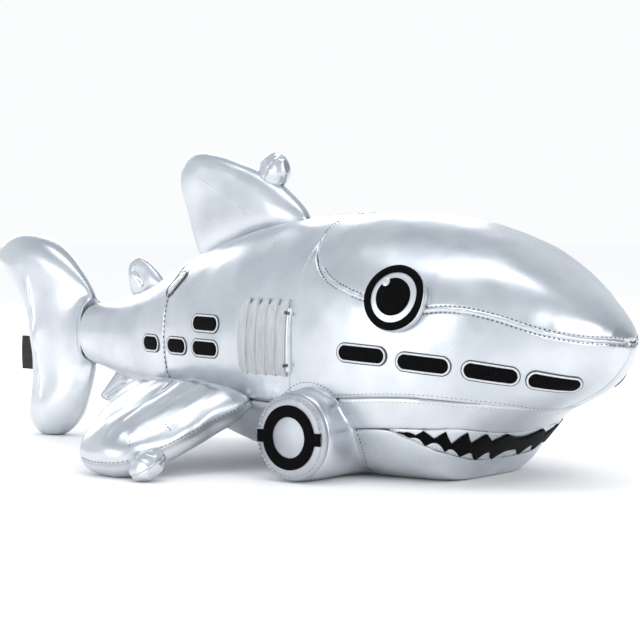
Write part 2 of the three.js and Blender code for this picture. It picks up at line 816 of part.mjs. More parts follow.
const analFin = stuffedFin({
  outline: [
    [ahead(38), bellyAhead(38)],
    [ahead(29), bellyAhead(29)],
    [ahead(20), bellyAhead(20)],
    [ahead(8), bellyAhead(20) - 10],
    [ahead(3), bellyAhead(20) - 16],
    [ahead(10), bellyAhead(20) - 19],
    [ahead(26), bellyAhead(20) - 14],
  ],
  spine: [
    [ahead(24), bellyAhead(24) - 5],
    [ahead(14), bellyAhead(24) - 12],
  ],
  thickness: smallFinThickness,
  place: upright,
  spokes: 16,
  rings: 6,
});
addPart('anal_fin', analFin, foil);

// Pectoral fins: rooted along the belly seam, sloping down to the floor. Points of
// the outline are x and the distance out from the cheek's widest line.
const pectoralFrontX = noseX - 219;
const pectoralBackX = pectoralFrontX - 111;
const pectoralReach = 77;
const pectoralMiddleX = pectoralFrontX - 45;
const pectoralRootZ = bellySeamHeight - 2;
const pectoralTipZ = 8;
const pectoralRootY = (x) => -sidePoint(x, pectoralRootZ).y + hingeGap;
const pectoralFrontY = pectoralRootY(pectoralFrontX);
const pectoralOutline = [
  [pectoralFrontX, pectoralFrontY + 1],
  [pectoralFrontX - 7, pectoralFrontY + pectoralReach * 0.36],
  [pectoralFrontX - 16, pectoralFrontY + pectoralReach * 0.68],
  [pectoralFrontX - 27, pectoralFrontY + pectoralReach * 0.93],
  [pectoralMiddleX, pectoralFrontY + pectoralReach],
  [pectoralFrontX - 67, pectoralFrontY + pectoralReach * 0.93],
  [pectoralFrontX - 82, pectoralFrontY + pectoralReach * 0.6],
  [pectoralFrontX - 97, pectoralFrontY + pectoralReach * 0.12],
  [pectoralBackX, pectoralRootY(pectoralBackX) + 3],
  [pectoralBackX + 16, pectoralRootY(pectoralBackX + 16) + 1],
  [pectoralBackX + 54, pectoralRootY(pectoralBackX + 54) + 1.5],
];
const slope = (pectoralRootZ - pectoralTipZ) / pectoralReach;
const slopeLength = Math.hypot(1, slope);

// Height and side position of the fin's middle surface, w square to its slope.
function onPectoral(x, out, w) {
  const rootOut = Math.min(out, pectoralFrontY);
  const z = pectoralRootZ - slope * Math.max(0, out - rootOut);
  const lift = w * (out < pectoralFrontY ? 0.55 : 1);
  return new THREE.Vector3(x, -out - (lift * slope) / slopeLength, Math.max(0, z + lift / slopeLength));
}
const pectoral = stuffedFin({
  outline: pectoralOutline,
  spine: [
    [pectoralMiddleX, pectoralFrontY + 8],
    [pectoralMiddleX, pectoralFrontY + pectoralReach - 22],
  ],
  thickness: pectoralThickness,
  place: onPectoral,
  spokes: 28,
});
addPair('pectoral_fin', pectoral, foil);

// ---------------------------------------------------------------- pods

// A stuffed nub standing on a fin's leading edge.
function pod(foot, direction) {
  const turn = new THREE.Quaternion().setFromUnitVectors(new THREE.Vector3(0, 1, 0), direction);
  return reshaped(new THREE.SphereGeometry(1, 14, 9), (v) => {
    const local = new THREE.Vector3(v.x * podRadius, (v.y * podLength) / 2, v.z * podRadius);
    const placed = local.applyQuaternion(turn).add(foot);
    return placed.addScaledVector(direction, podLength / 2 + layerGap);
  });
}
const dorsalPodFoot = new THREE.Vector3(dorsalFrontX - 31, 0, dorsalRootZ + dorsalHeight * 0.52);
const podSeamGap = 2; // lets a pod flex on its seam
const dorsalPodWay = new THREE.Vector3(0.55, 0, 0.83).normalize();
dorsalPodFoot.addScaledVector(dorsalPodWay, podSeamGap);
addPart('dorsal_pod', pod(dorsalPodFoot, dorsalPodWay), foil);

const pectoralPodFoot = onPectoral(pectoralFrontX - 24, pectoralFrontY + pectoralReach * 0.84, 0);
const pectoralPodWay = new THREE.Vector3(0.83, -0.55, 0).normalize();
pectoralPodFoot.addScaledVector(pectoralPodWay, podSeamGap);
pectoralPodFoot.z = podRadius + 0.2;
addPair('pectoral_pod', pod(pectoralPodFoot, pectoralPodWay), foil);

export default shark;
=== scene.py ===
# Stuffed toy shark sewn from silver foil fabric, with black satin trim.
# Shapes are worked out in millimetres, +X towards the nose and +Z up, and become
# metres when a piece is finished. The right side is modelled and mirrored for the left.

import math

import bmesh
import bpy
import numpy as np
from mathutils import Matrix, Vector, noise
from mathutils.bvhtree import BVHTree


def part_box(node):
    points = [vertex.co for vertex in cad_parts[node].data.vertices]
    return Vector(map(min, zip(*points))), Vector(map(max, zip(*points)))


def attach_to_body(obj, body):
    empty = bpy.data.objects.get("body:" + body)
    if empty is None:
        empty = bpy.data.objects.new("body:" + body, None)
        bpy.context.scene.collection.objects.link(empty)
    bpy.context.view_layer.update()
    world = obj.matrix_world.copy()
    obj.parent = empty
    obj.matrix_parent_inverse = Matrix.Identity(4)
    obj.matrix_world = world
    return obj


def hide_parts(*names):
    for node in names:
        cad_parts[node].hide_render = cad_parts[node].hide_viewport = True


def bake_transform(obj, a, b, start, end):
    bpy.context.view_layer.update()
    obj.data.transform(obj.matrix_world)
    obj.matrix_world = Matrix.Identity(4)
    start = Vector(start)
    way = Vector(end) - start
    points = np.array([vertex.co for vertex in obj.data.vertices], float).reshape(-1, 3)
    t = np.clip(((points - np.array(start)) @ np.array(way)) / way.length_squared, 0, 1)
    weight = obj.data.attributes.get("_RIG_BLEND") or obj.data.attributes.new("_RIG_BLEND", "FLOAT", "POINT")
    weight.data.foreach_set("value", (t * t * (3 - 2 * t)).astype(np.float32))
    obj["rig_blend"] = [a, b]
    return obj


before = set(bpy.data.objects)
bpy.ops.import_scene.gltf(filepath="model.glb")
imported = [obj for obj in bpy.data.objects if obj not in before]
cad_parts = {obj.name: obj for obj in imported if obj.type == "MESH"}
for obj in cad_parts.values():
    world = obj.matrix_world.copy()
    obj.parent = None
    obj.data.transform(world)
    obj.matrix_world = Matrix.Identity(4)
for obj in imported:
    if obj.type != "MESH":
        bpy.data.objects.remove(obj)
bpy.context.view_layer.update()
MM = 0.001
FLOOR = 0.3  # soft pieces end this far above the floor, in millimetres

# ---------------------------------------------------------------- sizes from the frame


def box_mm(node):
    low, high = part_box(node)
    return np.array(low) / MM, np.array(high) / MM


def middle_mm(node):
    low, high = box_mm(node)
    return (low + high) / 2


PANEL_NOSE_STEP = 0.04  # where the frame's panels start, as a step along the trunk
TRUNK_BACK_X = box_mm("tail_section_right")[0][0]
CROWN_FRONT_X = box_mm("crown_panel")[1][0]
TRUNK_LENGTH = (CROWN_FRONT_X - TRUNK_BACK_X) / (1 - PANEL_NOSE_STEP**2)
NOSE_X = TRUNK_BACK_X + TRUNK_LENGTH
TRUNK_HEIGHT = box_mm("crown_panel")[1][2]
TRUNK_HALF_WIDTH = -box_mm("cheek_panel_right")[0][1]
NOSE_HEIGHT = TRUNK_HEIGHT * 0.53

# ---------------------------------------------------------------- trunk surface

# The trunk's top and bottom lines as shares of its height, and its half width, each
# against the share of the length behind the nose.
TOP_LINE = [
    (0, 0.529), (0.01, 0.595), (0.044, 0.68), (0.11, 0.81), (0.184, 0.915), (0.27, 0.974), (0.368, 1),
    (0.466, 0.993), (0.564, 0.967), (0.662, 0.902), (0.76, 0.804), (0.858, 0.68), (0.931, 0.621), (1, 0.595),
]
BOTTOM_LINE = [
    (0, 0.529), (0.01, 0.455), (0.044, 0.358), (0.085, 0.302), (0.125, 0.256), (0.159, 0.2), (0.194, 0.115),
    (0.216, 0.05), (0.232, -0.004), (0.27, -0.013), (0.466, -0.013), (0.564, 0.026), (0.662, 0.092),
    (0.76, 0.176), (0.858, 0.248), (0.931, 0.294), (1, 0.34),
]
SIDE_LINE = [
    (0, 0), (0.01, 0.165), (0.044, 0.38), (0.11, 0.658), (0.184, 0.848), (0.27, 0.962), (0.368, 1),
    (0.466, 0.975), (0.564, 0.899), (0.662, 0.785), (0.76, 0.646), (0.858, 0.468), (0.931, 0.342), (1, 0.241),
]
NOSE_LIFT = NOSE_HEIGHT - TOP_LINE[0][1] * TRUNK_HEIGHT


def smooth_curve(rows):
    """A smooth curve through rows of (x, y), level where it turns back."""
    xs, ys = np.array(rows, float).T
    rises = np.diff(ys) / np.diff(xs)
    before, after = rises[:-1], rises[1:]
    turns = before * after <= 0
    inner = np.where(turns, 0, 2 * before * after / np.where(turns, 1, before + after))
    slopes = np.concatenate([rises[:1], inner, rises[-1:]])

    def curve(x):
        i = np.clip(np.searchsorted(xs, x) - 1, 0, len(xs) - 2)
        width = xs[i + 1] - xs[i]
        t = np.clip((x - xs[i]) / width, 0, 1)
        rise = ys[i + 1] - ys[i]
        a = slopes[i] * width - rise
        b = rise - slopes[i + 1] * width
        return ys[i] + rise * t + t * (1 - t) * (a * (1 - t) + b * t)

    return curve


def by_steps(rows):
    """A step along the trunk is the root of the share, which keeps the nose round."""
    return smooth_curve([(math.sqrt(share), value) for share, value in rows])


top_share, bottom_share, side_share = by_steps(TOP_LINE), by_steps(BOTTOM_LINE), by_steps(SIDE_LINE)


def mix(a, b, share):
    return a + (b - a) * share


def step_at(x):
    return np.sqrt(np.clip((NOSE_X - x) / TRUNK_LENGTH, 0, 1))


def x_at(step):
    return NOSE_X - TRUNK_LENGTH * step * step


def section_at(step):
    lift = NOSE_LIFT * (1 - step)
    top = top_share(step) * TRUNK_HEIGHT + lift
    bottom = bottom_share(step) * TRUNK_HEIGHT + lift * np.maximum(0, 1 - 3 * step)
    return x_at(step), top, bottom, side_share(step) * TRUNK_HALF_WIDTH


def skin_point(step, degrees):
    """Points of the trunk's outside; the angle runs from the back over the right side to the belly."""
    x, top, bottom, half_width = section_at(step)
    across, up = np.sin(np.radians(degrees)), np.cos(np.radians(degrees))
    jaw = np.clip((x - 20) / 60, 0, 1) * np.clip((NOSE_X - 5 - x) / 60, 0, 1)
    fullness = np.where(up > 0, 2.3, 2.3 + 0.7 * jaw)
    reach = (np.abs(across) ** fullness + np.abs(up) ** fullness) ** (-1 / fullness)
    z = (top + bottom) / 2 + (top - bottom) / 2 * reach * up
    return np.stack(np.broadcast_arrays(x, -half_width * reach * across, np.maximum(0, z)), -1)


def unit(vectors):
    return vectors / np.maximum(np.linalg.norm(vectors, axis=-1, keepdims=True), 1e-9)


def skin_normal(step, degrees):
    safe = np.clip(step, 0.03, 0.995)
    along = skin_point(safe + 0.004, degrees) - skin_point(safe - 0.004, degrees)
    around = skin_point(safe, degrees + 0.6) - skin_point(safe, degrees - 0.6)
    return unit(np.cross(along, around))


def body_point(step, degrees, lift=0.0):
    """The same points lifted off the surface; a negative lift goes inside."""
    return skin_point(step, degrees) + skin_normal(step, degrees) * np.asarray(lift)[..., None]


def halved(low, high, shape, is_low):
    """Where is_low turns false between low and high, by halving."""
    low, high = np.full(shape, float(low)), np.full(shape, float(high))
    for _ in range(30):
        centre = (low + high) / 2
        below = is_low(centre)
        low, high = np.where(below, centre, low), np.where(below, high, centre)
    return (low + high) / 2


def angle_at_height(step, z):
    shape = np.broadcast(step, z).shape
    return halved(0, 180, shape, lambda degrees: skin_point(step, degrees)[..., 2] > z)


def front_step_at_height(z):
    return halved(0.02, 0.5, np.shape(z), lambda step: section_at(step)[2] > z)


def side_point(x, z, lift=0.0):
    step = step_at(x)
    return body_point(step, angle_at_height(step, z), lift)


# ---------------------------------------------------------------- seams of the trunk

CROWN_BACK_STEP = 0.66
REAR_SEAM_STEP = 0.858
GILL_SEAM_STEP = 0.668
BELLY_SEAM_HEIGHT = 42
JAW_BACK_X = 104
MOUTH_BACK_X = 134
SNOUT_X = 205
NOSE_STEP = 0.018  # the sewn panels gather to a point here

crown_seam = smooth_curve([
    (0, 76), (0.2, 78), (0.27, 78.5), (0.36, 74.5), (0.46, 70), (0.52, 68.5), (0.56, 67.5), (0.607, 63),
    (0.632, 58), (0.65, 50), (CROWN_BACK_STEP, 38),
])
jaw_seam_height = smooth_curve([(90, 47), (150, 50.5), (190, 47), (215, 40)])
upper_lip_height = smooth_curve([(90, 28), (130, 32), (165, 33), (175, 32), (180, 29.5), (183, 26)])
lower_lip_height = smooth_curve([
    (90, 28), (132, 31.5), (150, 25.5), (160, 20), (164, 15.5), (166, 9.5), (170, 8),
])


def level_seam(height_at, rear_x, forwards):
    """(step, angle) of a level seam round the snout. forwards is 0 at rear_x and 1 at the middle in front."""
    z = height_at(mix(rear_x, SNOUT_X, forwards))
    for _ in range(12):
        step = mix(step_at(rear_x), front_step_at_height(z), forwards)
        z = mix(z, height_at(x_at(step)), 0.4)
    return step, np.where(forwards > 0.9999, 180.0, angle_at_height(step, z))


def ease_back(a):
    return 1 - (1 - a) ** 1.5


def crown_course(a, b):
    step = mix(NOSE_STEP, CROWN_BACK_STEP, ease_back(a))
    return step, (2 * b - 1) * crown_seam(step)


CHEEK_FRONT_SHARE = 0.3
CHEEK_JAW_SHARE = 0.86


def cheek_lower_edge(a):
    """The middle of the snout in front, then the jaw seam, then a line over the boss."""
    front = level_seam(jaw_seam_height, JAW_BACK_X, np.ones(1))[0][0]
    snout = mix(NOSE_STEP, front, np.clip(a / CHEEK_FRONT_SHARE, 0, 1))
    share = np.clip((a - CHEEK_FRONT_SHARE) / (CHEEK_JAW_SHARE - CHEEK_FRONT_SHARE), 0, 1)
    jaw_step, jaw_degrees = level_seam(jaw_seam_height, JAW_BACK_X, 1 - share * share)
    over = np.clip((a - CHEEK_JAW_SHARE) / (1 - CHEEK_JAW_SHARE), 0, 1)
    boss_step = mix(step_at(JAW_BACK_X), GILL_SEAM_STEP, over)
    boss_degrees = angle_at_height(boss_step, jaw_seam_height(JAW_BACK_X))
    in_front, at_jaw = a <= CHEEK_FRONT_SHARE, a <= CHEEK_JAW_SHARE
    step = np.where(in_front, snout, np.where(at_jaw, jaw_step, boss_step))
    return step, np.where(in_front, 180.0, np.where(at_jaw, jaw_degrees, boss_degrees))


def cheek_course(a, b):
    back = mix(CROWN_BACK_STEP, GILL_SEAM_STEP, b)
    upper_step = mix(NOSE_STEP, back, ease_back(a))
    lower_step, lower_degrees = cheek_lower_edge(a)
    upper_degrees = crown_seam(np.minimum(upper_step, CROWN_BACK_STEP))
    return mix(upper_step, lower_step, b), mix(upper_degrees, lower_degrees, b)


def flank_course(a, b):
    """Its front edge follows the back edges of the crown and the cheek."""
    degrees = b * angle_at_height(GILL_SEAM_STEP, BELLY_SEAM_HEIGHT)
    top = crown_seam(CROWN_BACK_STEP)
    share = (degrees - top) / (angle_at_height(GILL_SEAM_STEP, jaw_seam_height(JAW_BACK_X)) - top)
    step = mix(mix(CROWN_BACK_STEP, GILL_SEAM_STEP, np.clip(share, 0, 1)), REAR_SEAM_STEP, a)
    return step, angle_at_height(step, BELLY_SEAM_HEIGHT) * b


def tail_course(a, b):
    return mix(REAR_SEAM_STEP, 1.0, a), 180 * b


def belly_course(a, b):
    step = mix(step_at(JAW_BACK_X), REAR_SEAM_STEP, a)
    edge = angle_at_height(step, BELLY_SEAM_HEIGHT)
    return step, mix(edge, 360 - edge, b)


def band_course(upper_height, lower_height, rear_x):
    """A band round the front of the snout between two level seams, from the right side to the left."""

    def course(a, b):
        side = 2 * a - 1
        step, degrees = level_seam(
            lambda x: mix(upper_height(x), lower_height(x), b), rear_x, 1 - side * side
        )
        return step, np.where(side <= 0, degrees, 360 - degrees)

    return course


def chin_course(a, b):
    step, edge = level_seam(lower_lip_height, JAW_BACK_X, 1 - a * a)
    return step, mix(edge, 360 - edge, b)


jaw_course = band_course(jaw_seam_height, upper_lip_height, JAW_BACK_X)
mouth_course = band_course(upper_lip_height, lower_lip_height, MOUTH_BACK_X)

# ---------------------------------------------------------------- mesh helpers


def coordinates(bm):
    return np.array([v.co for v in bm.verts], float).reshape(-1, 3)


def move_to(bm, points):
    for vertex, point in zip(bm.verts, points):
        vertex.co = point


def ripple(points, size, seed=0.0):
    """Smooth random values from -1 to 1 that change over about size millimetres."""
    shift = Vector((seed * 7.3, seed * 3.1, seed * 5.7))
    return np.array([noise.noise(Vector(p) / size + shift) for p in points])


def slab(cells_a, cells_b):
    """A flat closed slab: x and y from 0 to 1, z 0 inside and 1 outside."""
    bm = bmesh.new()
    bmesh.ops.create_grid(bm, x_segments=cells_a, y_segments=cells_b, size=0.5)
    bmesh.ops.translate(bm, vec=(0.5, 0.5, 0), verts=bm.verts)
    made = bmesh.ops.extrude_face_region(bm, geom=bm.faces[:])
    upper = [part for part in made["geom"] if isinstance(part, bmesh.types.BMVert)]
    bmesh.ops.translate(bm, vec=(0, 0, 1), verts=upper)
    return bm


def lathe(profile, segments=48):
    """A closed ring or disc turned round +Z from a profile of (radius, height)."""
    bm = bmesh.new()
    corners = [bm.verts.new((radius, 0, height)) for radius, height in profile]
    for first, second in zip(corners, corners[1:]):
        bm.edges.new((first, second))
    if profile[0][0] > 0:
        bm.edges.new((corners[-1], corners[0]))
    bmesh.ops.spin(
        bm, geom=bm.verts[:] + bm.edges[:], cent=(0, 0, 0), axis=(0, 0, 1), angle=2 * math.pi,
        steps=segments, use_merge=True,
    )
    bmesh.ops.remove_doubles(bm, verts=bm.verts, dist=1e-5)
    bmesh.ops.recalc_face_normals(bm, faces=bm.faces)
    return bm


def stretched(bm, straight, cuts=8):
    """Pulls the halves of a turned shape apart into one with straight sides, cut across for bending."""
    for vertex in bm.verts:
        if abs(vertex.co.x) > 1e-4:
            vertex.co.x += math.copysign(straight, vertex.co.x)
    for i in range(cuts + 1):
        x = mix(-straight, straight, i / cuts) + 1e-3
        geom = bm.verts[:] + bm.edges[:] + bm.faces[:]
        bmesh.ops.bisect_plane(bm, geom=geom, dist=1e-5, plane_co=(x, 0, 0), plane_no=(1, 0, 0))
    return bm


def wrapper(x, z, tilt=0.0):
    """Lays a flat shape on the trunk round a spot: l forwards, m upwards, lift outwards."""
    step = step_at(x)
    degrees = float(angle_at_height(step, z))
    per_step = (skin_point(step + 0.01, degrees) - skin_point(step - 0.01, degrees)) / 0.02
    per_degree = (skin_point(step, degrees + 1) - skin_point(step, degrees - 1)) / 2
    outwards = Vector(skin_normal(step, degrees))
    level = Vector((0, 0, 1)).cross(outwards).normalized()
    forwards = Matrix.Rotation(math.radians(tilt), 3, outwards) @ level
    upwards = outwards.cross(forwards)
    centre = skin_point(step, degrees)
    frame_axes = np.stack([per_step, per_degree], -1)
    solve = np.linalg.pinv(frame_axes)

    def wrap(l, m, lift):
        target = centre + np.outer(l, forwards) + np.outer(m, upwards)
        at_step, at_degrees = np.full(len(l), float(step)), np.full(len(l), degrees)
        for _ in range(5):
            move = (target - skin_point(at_step, at_degrees)) @ solve.T
            at_step, at_degrees = at_step + move[:, 0], at_degrees + move[:, 1]
        return body_point(at_step, at_degrees, lift)

    return wrap


def wrapped(bm, wrap, lift=0.0):
    x, y, z = coordinates(bm).T
    move_to(bm, wrap(x, y, z + lift))
    return bm


def mirrored(bm):
    """A copy for the left side."""
    other = bm.copy()
    bmesh.ops.scale(other, vec=(1, -1, 1), verts=other.verts)
    bmesh.ops.reverse_faces(other, faces=other.faces)
    return other


sewn_surfaces = {}  # name of a piece: its surface in millimetres, for laying stitches on


def finish_piece(bm, name, material, attach, node=None, slot="foil", fill=None, sharp=None, subdivide=0):
    """Makes the piece; attach is a body's name or (body, body, start, end) for fabric across a joint."""
    bmesh.ops.remove_doubles(bm, verts=bm.verts, dist=1e-5)
    bm.normal_update()
    sewn_surfaces[name] = BVHTree.FromBMesh(bm)
    bmesh.ops.scale(bm, vec=(MM, MM, MM), verts=bm.verts)
    mesh = bpy.data.meshes.new(name)
    bm.to_mesh(mesh)
    bm.free()
    mesh.materials.append(material)
    mesh.shade_smooth()
    if sharp:
        mesh.set_sharp_from_angle(angle=math.radians(sharp))
    piece = bpy.data.objects.new(name, mesh)
    bpy.context.scene.collection.objects.link(piece)
    if subdivide:
        smoother = piece.modifiers.new("Smoother", "SUBSURF")
        smoother.levels = smoother.render_levels = subdivide
    if isinstance(attach, str):
        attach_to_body(piece, attach)
    else:
        first, second, start, end = attach
        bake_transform(piece, first, second, start=tuple(np.array(start) * MM), end=tuple(np.array(end) * MM))
    if node:
        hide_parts(*([node] if isinstance(node, str) else node))
    return piece


def other_side(attach):
    if isinstance(attach, str):
        return attach.replace("right", "left")
    first, second, start, end = attach
    flip = np.array((1, -1, 1))
    bodies = [body.replace("right", "left") for body in (first, second)]
    return (*bodies, np.array(start) * flip, np.array(end) * flip)


def finish_pair(bm, name, material, attach, node=None, **options):
    """The piece on the right side and its mirror on the left; name and node are without the side."""
    left = mirrored(bm)
    node_right = node and (node + "_right")
    node_left = node and (node + "_left")
    finish_piece(bm, name + "_right", material, attach, node_right, **options)
    finish_piece(left, name + "_left", material, other_side(attach), node_left, **options)


# ---------------------------------------------------------------- materials


def linear(code):
    """Linear colour of an sRGB hex value."""
    parts = [int(code[i : i + 2], 16) / 255 for i in (1, 3, 5)]
    return [p / 12.92 if p <= 0.04045 else ((p + 0.055) / 1.055) ** 2.4 for p in parts] + [1.0]


def add_node(tree, kind, inputs=(), **settings):
    """A node with its settings and its inputs, each a value or another node's output."""
    node = tree.nodes.new(kind)
    for name, value in settings.items():
        setattr(node, name, value)
    for socket, value in dict(inputs).items():
        if isinstance(value, bpy.types.NodeSocket):
            tree.links.new(value, node.inputs[socket])
        else:
            node.inputs[socket].default_value = value
    return node


def new_material(name, **shader_values):
    """A material, its node tree, and feed(Socket_Name=output, ...), which links outputs to the shader."""
    material = bpy.data.materials.new(name)
    material.use_nodes = True
    tree = material.node_tree
    shader = tree.nodes["Principled BSDF"]
    for socket, value in shader_values.items():
        shader.inputs[socket.replace("_", " ")].default_value = value

    def feed(**outputs):
        for socket, output in outputs.items():
            tree.links.new(output, shader.inputs[socket.replace("_", " ")])

    return material, tree, feed


def pattern(tree, size_mm, stretch=(1, 1, 1), detail=2.0):
    """A noise pattern whose features are about size_mm across, stretched along the axes."""
    place = add_node(tree, "ShaderNodeTexCoord").outputs["Object"]
    scaled = add_node(
        tree, "ShaderNodeMapping", {"Vector": place, "Scale": [1 / (size_mm * MM * s) for s in stretch]}
    )
    inputs = {"Vector": scaled.outputs["Vector"], "Scale": 1.0, "Detail": detail}
    return add_node(tree, "ShaderNodeTexNoise", inputs).outputs[0]


def ranged(tree, value, low, high, out_low, out_high):
    inputs = {"Value": value, "From Min": low, "From Max": high, "To Min": out_low, "To Max": out_high}
    return add_node(tree, "ShaderNodeMapRange", inputs).outputs["Result"]


MIX_FACTOR, MIX_A, MIX_B, MIX_RESULT = 0, 6, 7, 2  # the mix node's sockets for colours


def blended(tree, share, first, second):
    """Mix of two colours, each a hex code or another node's output."""
    first, second = (linear(colour) if isinstance(colour, str) else colour for colour in (first, second))
    inputs = {MIX_FACTOR: share, MIX_A: first, MIX_B: second}
    return add_node(tree, "ShaderNodeMix", inputs, data_type="RGBA").outputs[MIX_RESULT]


def two_tone(tree, value, low, high, first, second):
    """The first colour where value is low or less, and the second where it is high or more."""
    return blended(tree, ranged(tree, value, low, high, 0, 1), first, second)


def bumped(tree, layers):
    """Stacked bumps, each (height output, depth in mm, strength)."""
    normal = None
    for height, depth, strength in layers:
        inputs = {"Height": height, "Distance": depth * MM, "Strength": strength}
        if normal is not None:
            inputs["Normal"] = normal
        normal = add_node(tree, "ShaderNodeBump", inputs).outputs["Normal"]
    return normal


def foil_fabric(name, colour_low, colour_high, roughness):
    """Foil-coated polyester: a thin aluminium foil pressed on a tricot knit. Soft metal mirror with a fine
    grain drawn out along the roll, small crumples, and a duller, darker line where it is sewn, which is
    painted shade in the dip where the fabric rolls into the seam."""
    material, tree, feed = new_material(name, Metallic=0.93)
    seam = add_node(tree, "ShaderNodeAttribute", attribute_name="seam").outputs["Fac"]
    colour = two_tone(tree, pattern(tree, 34, detail=3), 0.35, 0.65, colour_low, colour_high)
    # painted shade: the seam attribute blends the foil towards dark grey where it rolls into a seam
    colour = blended(tree, ranged(tree, seam, 0, 1, 0, 0.5), colour, "#8d9298")
    # the knit's 0.35 mm ribs are drawn about 1.1 mm wide, so that they show
    ribs = pattern(tree, 1.1, stretch=(9, 1, 1), detail=2)
    grain = pattern(tree, 1.3, detail=1)
    crumples = pattern(tree, 9, stretch=(1.6, 1, 1), detail=1)
    rough = ranged(tree, pattern(tree, 16, detail=1), 0.3, 0.7, roughness - 0.03, roughness + 0.05)
    normal = bumped(tree, [(crumples, 0.5, 0.12), (grain, 0.1, 0.05), (ribs, 0.1, 0.12)])
    feed(Base_Color=colour, Roughness=rough, Normal=normal)
    return material


def black_satin():
    """Polyester satin stitch: packed black threads about 0.4 mm wide, with a soft sheen along the rows."""
    material, tree, feed = new_material("black_satin_stitch", IOR=1.5, Specular_IOR_Level=0.05)
    threads = pattern(tree, 0.9, stretch=(1, 1, 5), detail=1)
    colour = two_tone(tree, threads, 0.35, 0.65, "#020203", "#0a0a0c")
    rough = ranged(tree, threads, 0.3, 0.7, 0.5, 0.68)
    feed(Base_Color=colour, Roughness=rough, Normal=bumped(tree, [(threads, 0.25, 0.6)]))
    return material


def grey_ribbon():
    """Matt polyester grosgrain, pleated: fine upright ribs, a dull even grey with a faint silver cast."""
    material, tree, feed = new_material("pleated_grosgrain", IOR=1.5, Metallic=0.12, Sheen_Weight=0.12)
    ribs = pattern(tree, 1.2, stretch=(1, 1, 14), detail=1)
    cross = pattern(tree, 1.1, stretch=(8, 8, 1), detail=1)
    colour = two_tone(tree, ribs, 0.3, 0.7, "#a9adb2", "#bcc0c4")
    rough = ranged(tree, cross, 0.3, 0.7, 0.6, 0.78)
    feed(Base_Color=colour, Roughness=rough, Normal=bumped(tree, [(ribs, 0.25, 0.5), (cross, 0.15, 0.35)]))
    return material


def sewing_thread(name, dark, light, metallic=0.0):
    """Two-ply polyester thread: a soft gloss on each ply, slightly uneven in colour."""
    material, tree, feed = new_material(name, IOR=1.5, Metallic=metallic, Roughness=0.5)
    plies = pattern(tree, 0.8, detail=1)
    feed(
        Base_Color=two_tone(tree, plies, 0.3, 0.7, dark, light), Normal=bumped(tree, [(plies, 0.15, 0.5)])
    )
    return material


def woven_tape():
    """Damask label tape: black warp and weft about 0.5 mm apart, close and slightly glossy."""
    material, tree, feed = new_material("woven_label_tape", IOR=1.5, Roughness=0.55)
    warp = pattern(tree, 1.0, stretch=(9, 1, 1), detail=0)
    weft = pattern(tree, 1.0, stretch=(1, 1, 9), detail=0)
    colour = two_tone(tree, warp, 0.35, 0.65, "#08080a", "#1b1c20")
    feed(Base_Color=colour, Normal=bumped(tree, [(warp, 0.2, 0.5), (weft, 0.2, 0.4)]))
    return material


def fibre_fill():
    """Loose white polyester fibre: matt, lumpy, with soft sheen."""
    material, tree, feed = new_material("polyester_fibre_fill", Roughness=0.95, Sheen_Weight=0.4)
    tufts = pattern(tree, 4, detail=4)
    colour = two_tone(tree, tufts, 0.3, 0.7, "#dcdcd6", "#f4f4f0")
    feed(Base_Color=colour, Normal=bumped(tree, [(tufts, 2, 0.8)]))
    return material


FOIL = foil_fabric("silver_foil_fabric", "#ccd1d7", "#dde1e5", 0.30)
FOIL_TRIM = foil_fabric("silver_foil_trim", "#d6d9dc", "#e6e8ea", 0.38)
FOIL_MATT = foil_fabric("silver_foil_matt", "#adb1b7", "#bfc3c8", 0.42)
SATIN = black_satin()
RIBBON = grey_ribbon()
DARK_THREAD = sewing_thread("charcoal_thread", "#2c2f35", "#4a4e56")
GREY_THREAD = sewing_thread("grey_thread", "#6d7178", "#8c9097")
SILVER_THREAD = sewing_thread("silver_thread", "#c6cacf", "#e4e6e8", metallic=0.4)
TAPE = woven_tape()
FIBRE = fibre_fill()

# ---------------------------------------------------------------- trunk panels

SEAM_ROLL = 3.2  # how far from its seam a panel's edge starts to roll in
FABRIC = 0.8  # drawn thickness of a panel


def dense_ends(share, amount=0.8):
    """Spreads grid lines so that they crowd towards both ends, where the seams are."""
    return mix(share, 0.5 - 0.5 * np.cos(np.pi * share), amount)


def seam_lift(points, edge_points, depth, pucker, seed):
    """How a stuffed panel dips towards a seam: a rolled edge, and gathers that fade away from it."""
    away = np.linalg.norm(points - edge_points, axis=1)
    rolled = np.clip(1 - away / SEAM_ROLL, 0, 1)
    dip = -depth * (1 - np.sqrt(1 - rolled**2 * 0.999))
    gathers = ripple(edge_points, 5.5, seed) + 0.5 * ripple(edge_points, 2.6, seed + 1)
    fade = np.exp(-away / 7.5) * (1 - np.exp(-away / 1.4))
    return dip + pucker * gathers * fade, rolled


def trunk_panel(course, cells, seams, swell, seed):
    """A sewn panel. seams gives (depth, pucker) for the edges a=0, a=1, b=0 and b=1."""
    bm = slab(*cells)
    a, b, layer = coordinates(bm).T
    a, b = dense_ends(a), dense_ends(b)
    place = course(a, b)
    points = body_point(*place)
    lift = swell * (0.9 * ripple(points, 46, seed) + 0.3 * ripple(points, 15, seed + 2))
    seam_shade = np.zeros(len(a))
    ends = [(np.zeros_like(a), b), (np.ones_like(a), b), (a, np.zeros_like(b)), (a, np.ones_like(b))]
    for (edge_a, edge_b), (depth, pucker) in zip(ends, seams):
        edge_points = body_point(*course(edge_a, edge_b))
        dip, rolled = seam_lift(points, edge_points, depth, pucker, seed)
        lift += dip
        # painted shade: darker the closer to the seam and the deeper its dip, stored in the seam attribute
        # for the foil
        seam_shade = np.maximum(seam_shade, rolled**3 * min(1, depth / 1.5))
    outside = body_point(*place, lift - FABRIC * (1 - layer))
    outside[:, 2] = np.maximum(outside[:, 2], 0.4 * layer)
    move_to(bm, outside)
    seam_shade_layer = bm.verts.layers.float.new("seam")
    for vertex, value in zip(bm.verts, seam_shade):
        vertex[seam_shade_layer] = value
    return bm


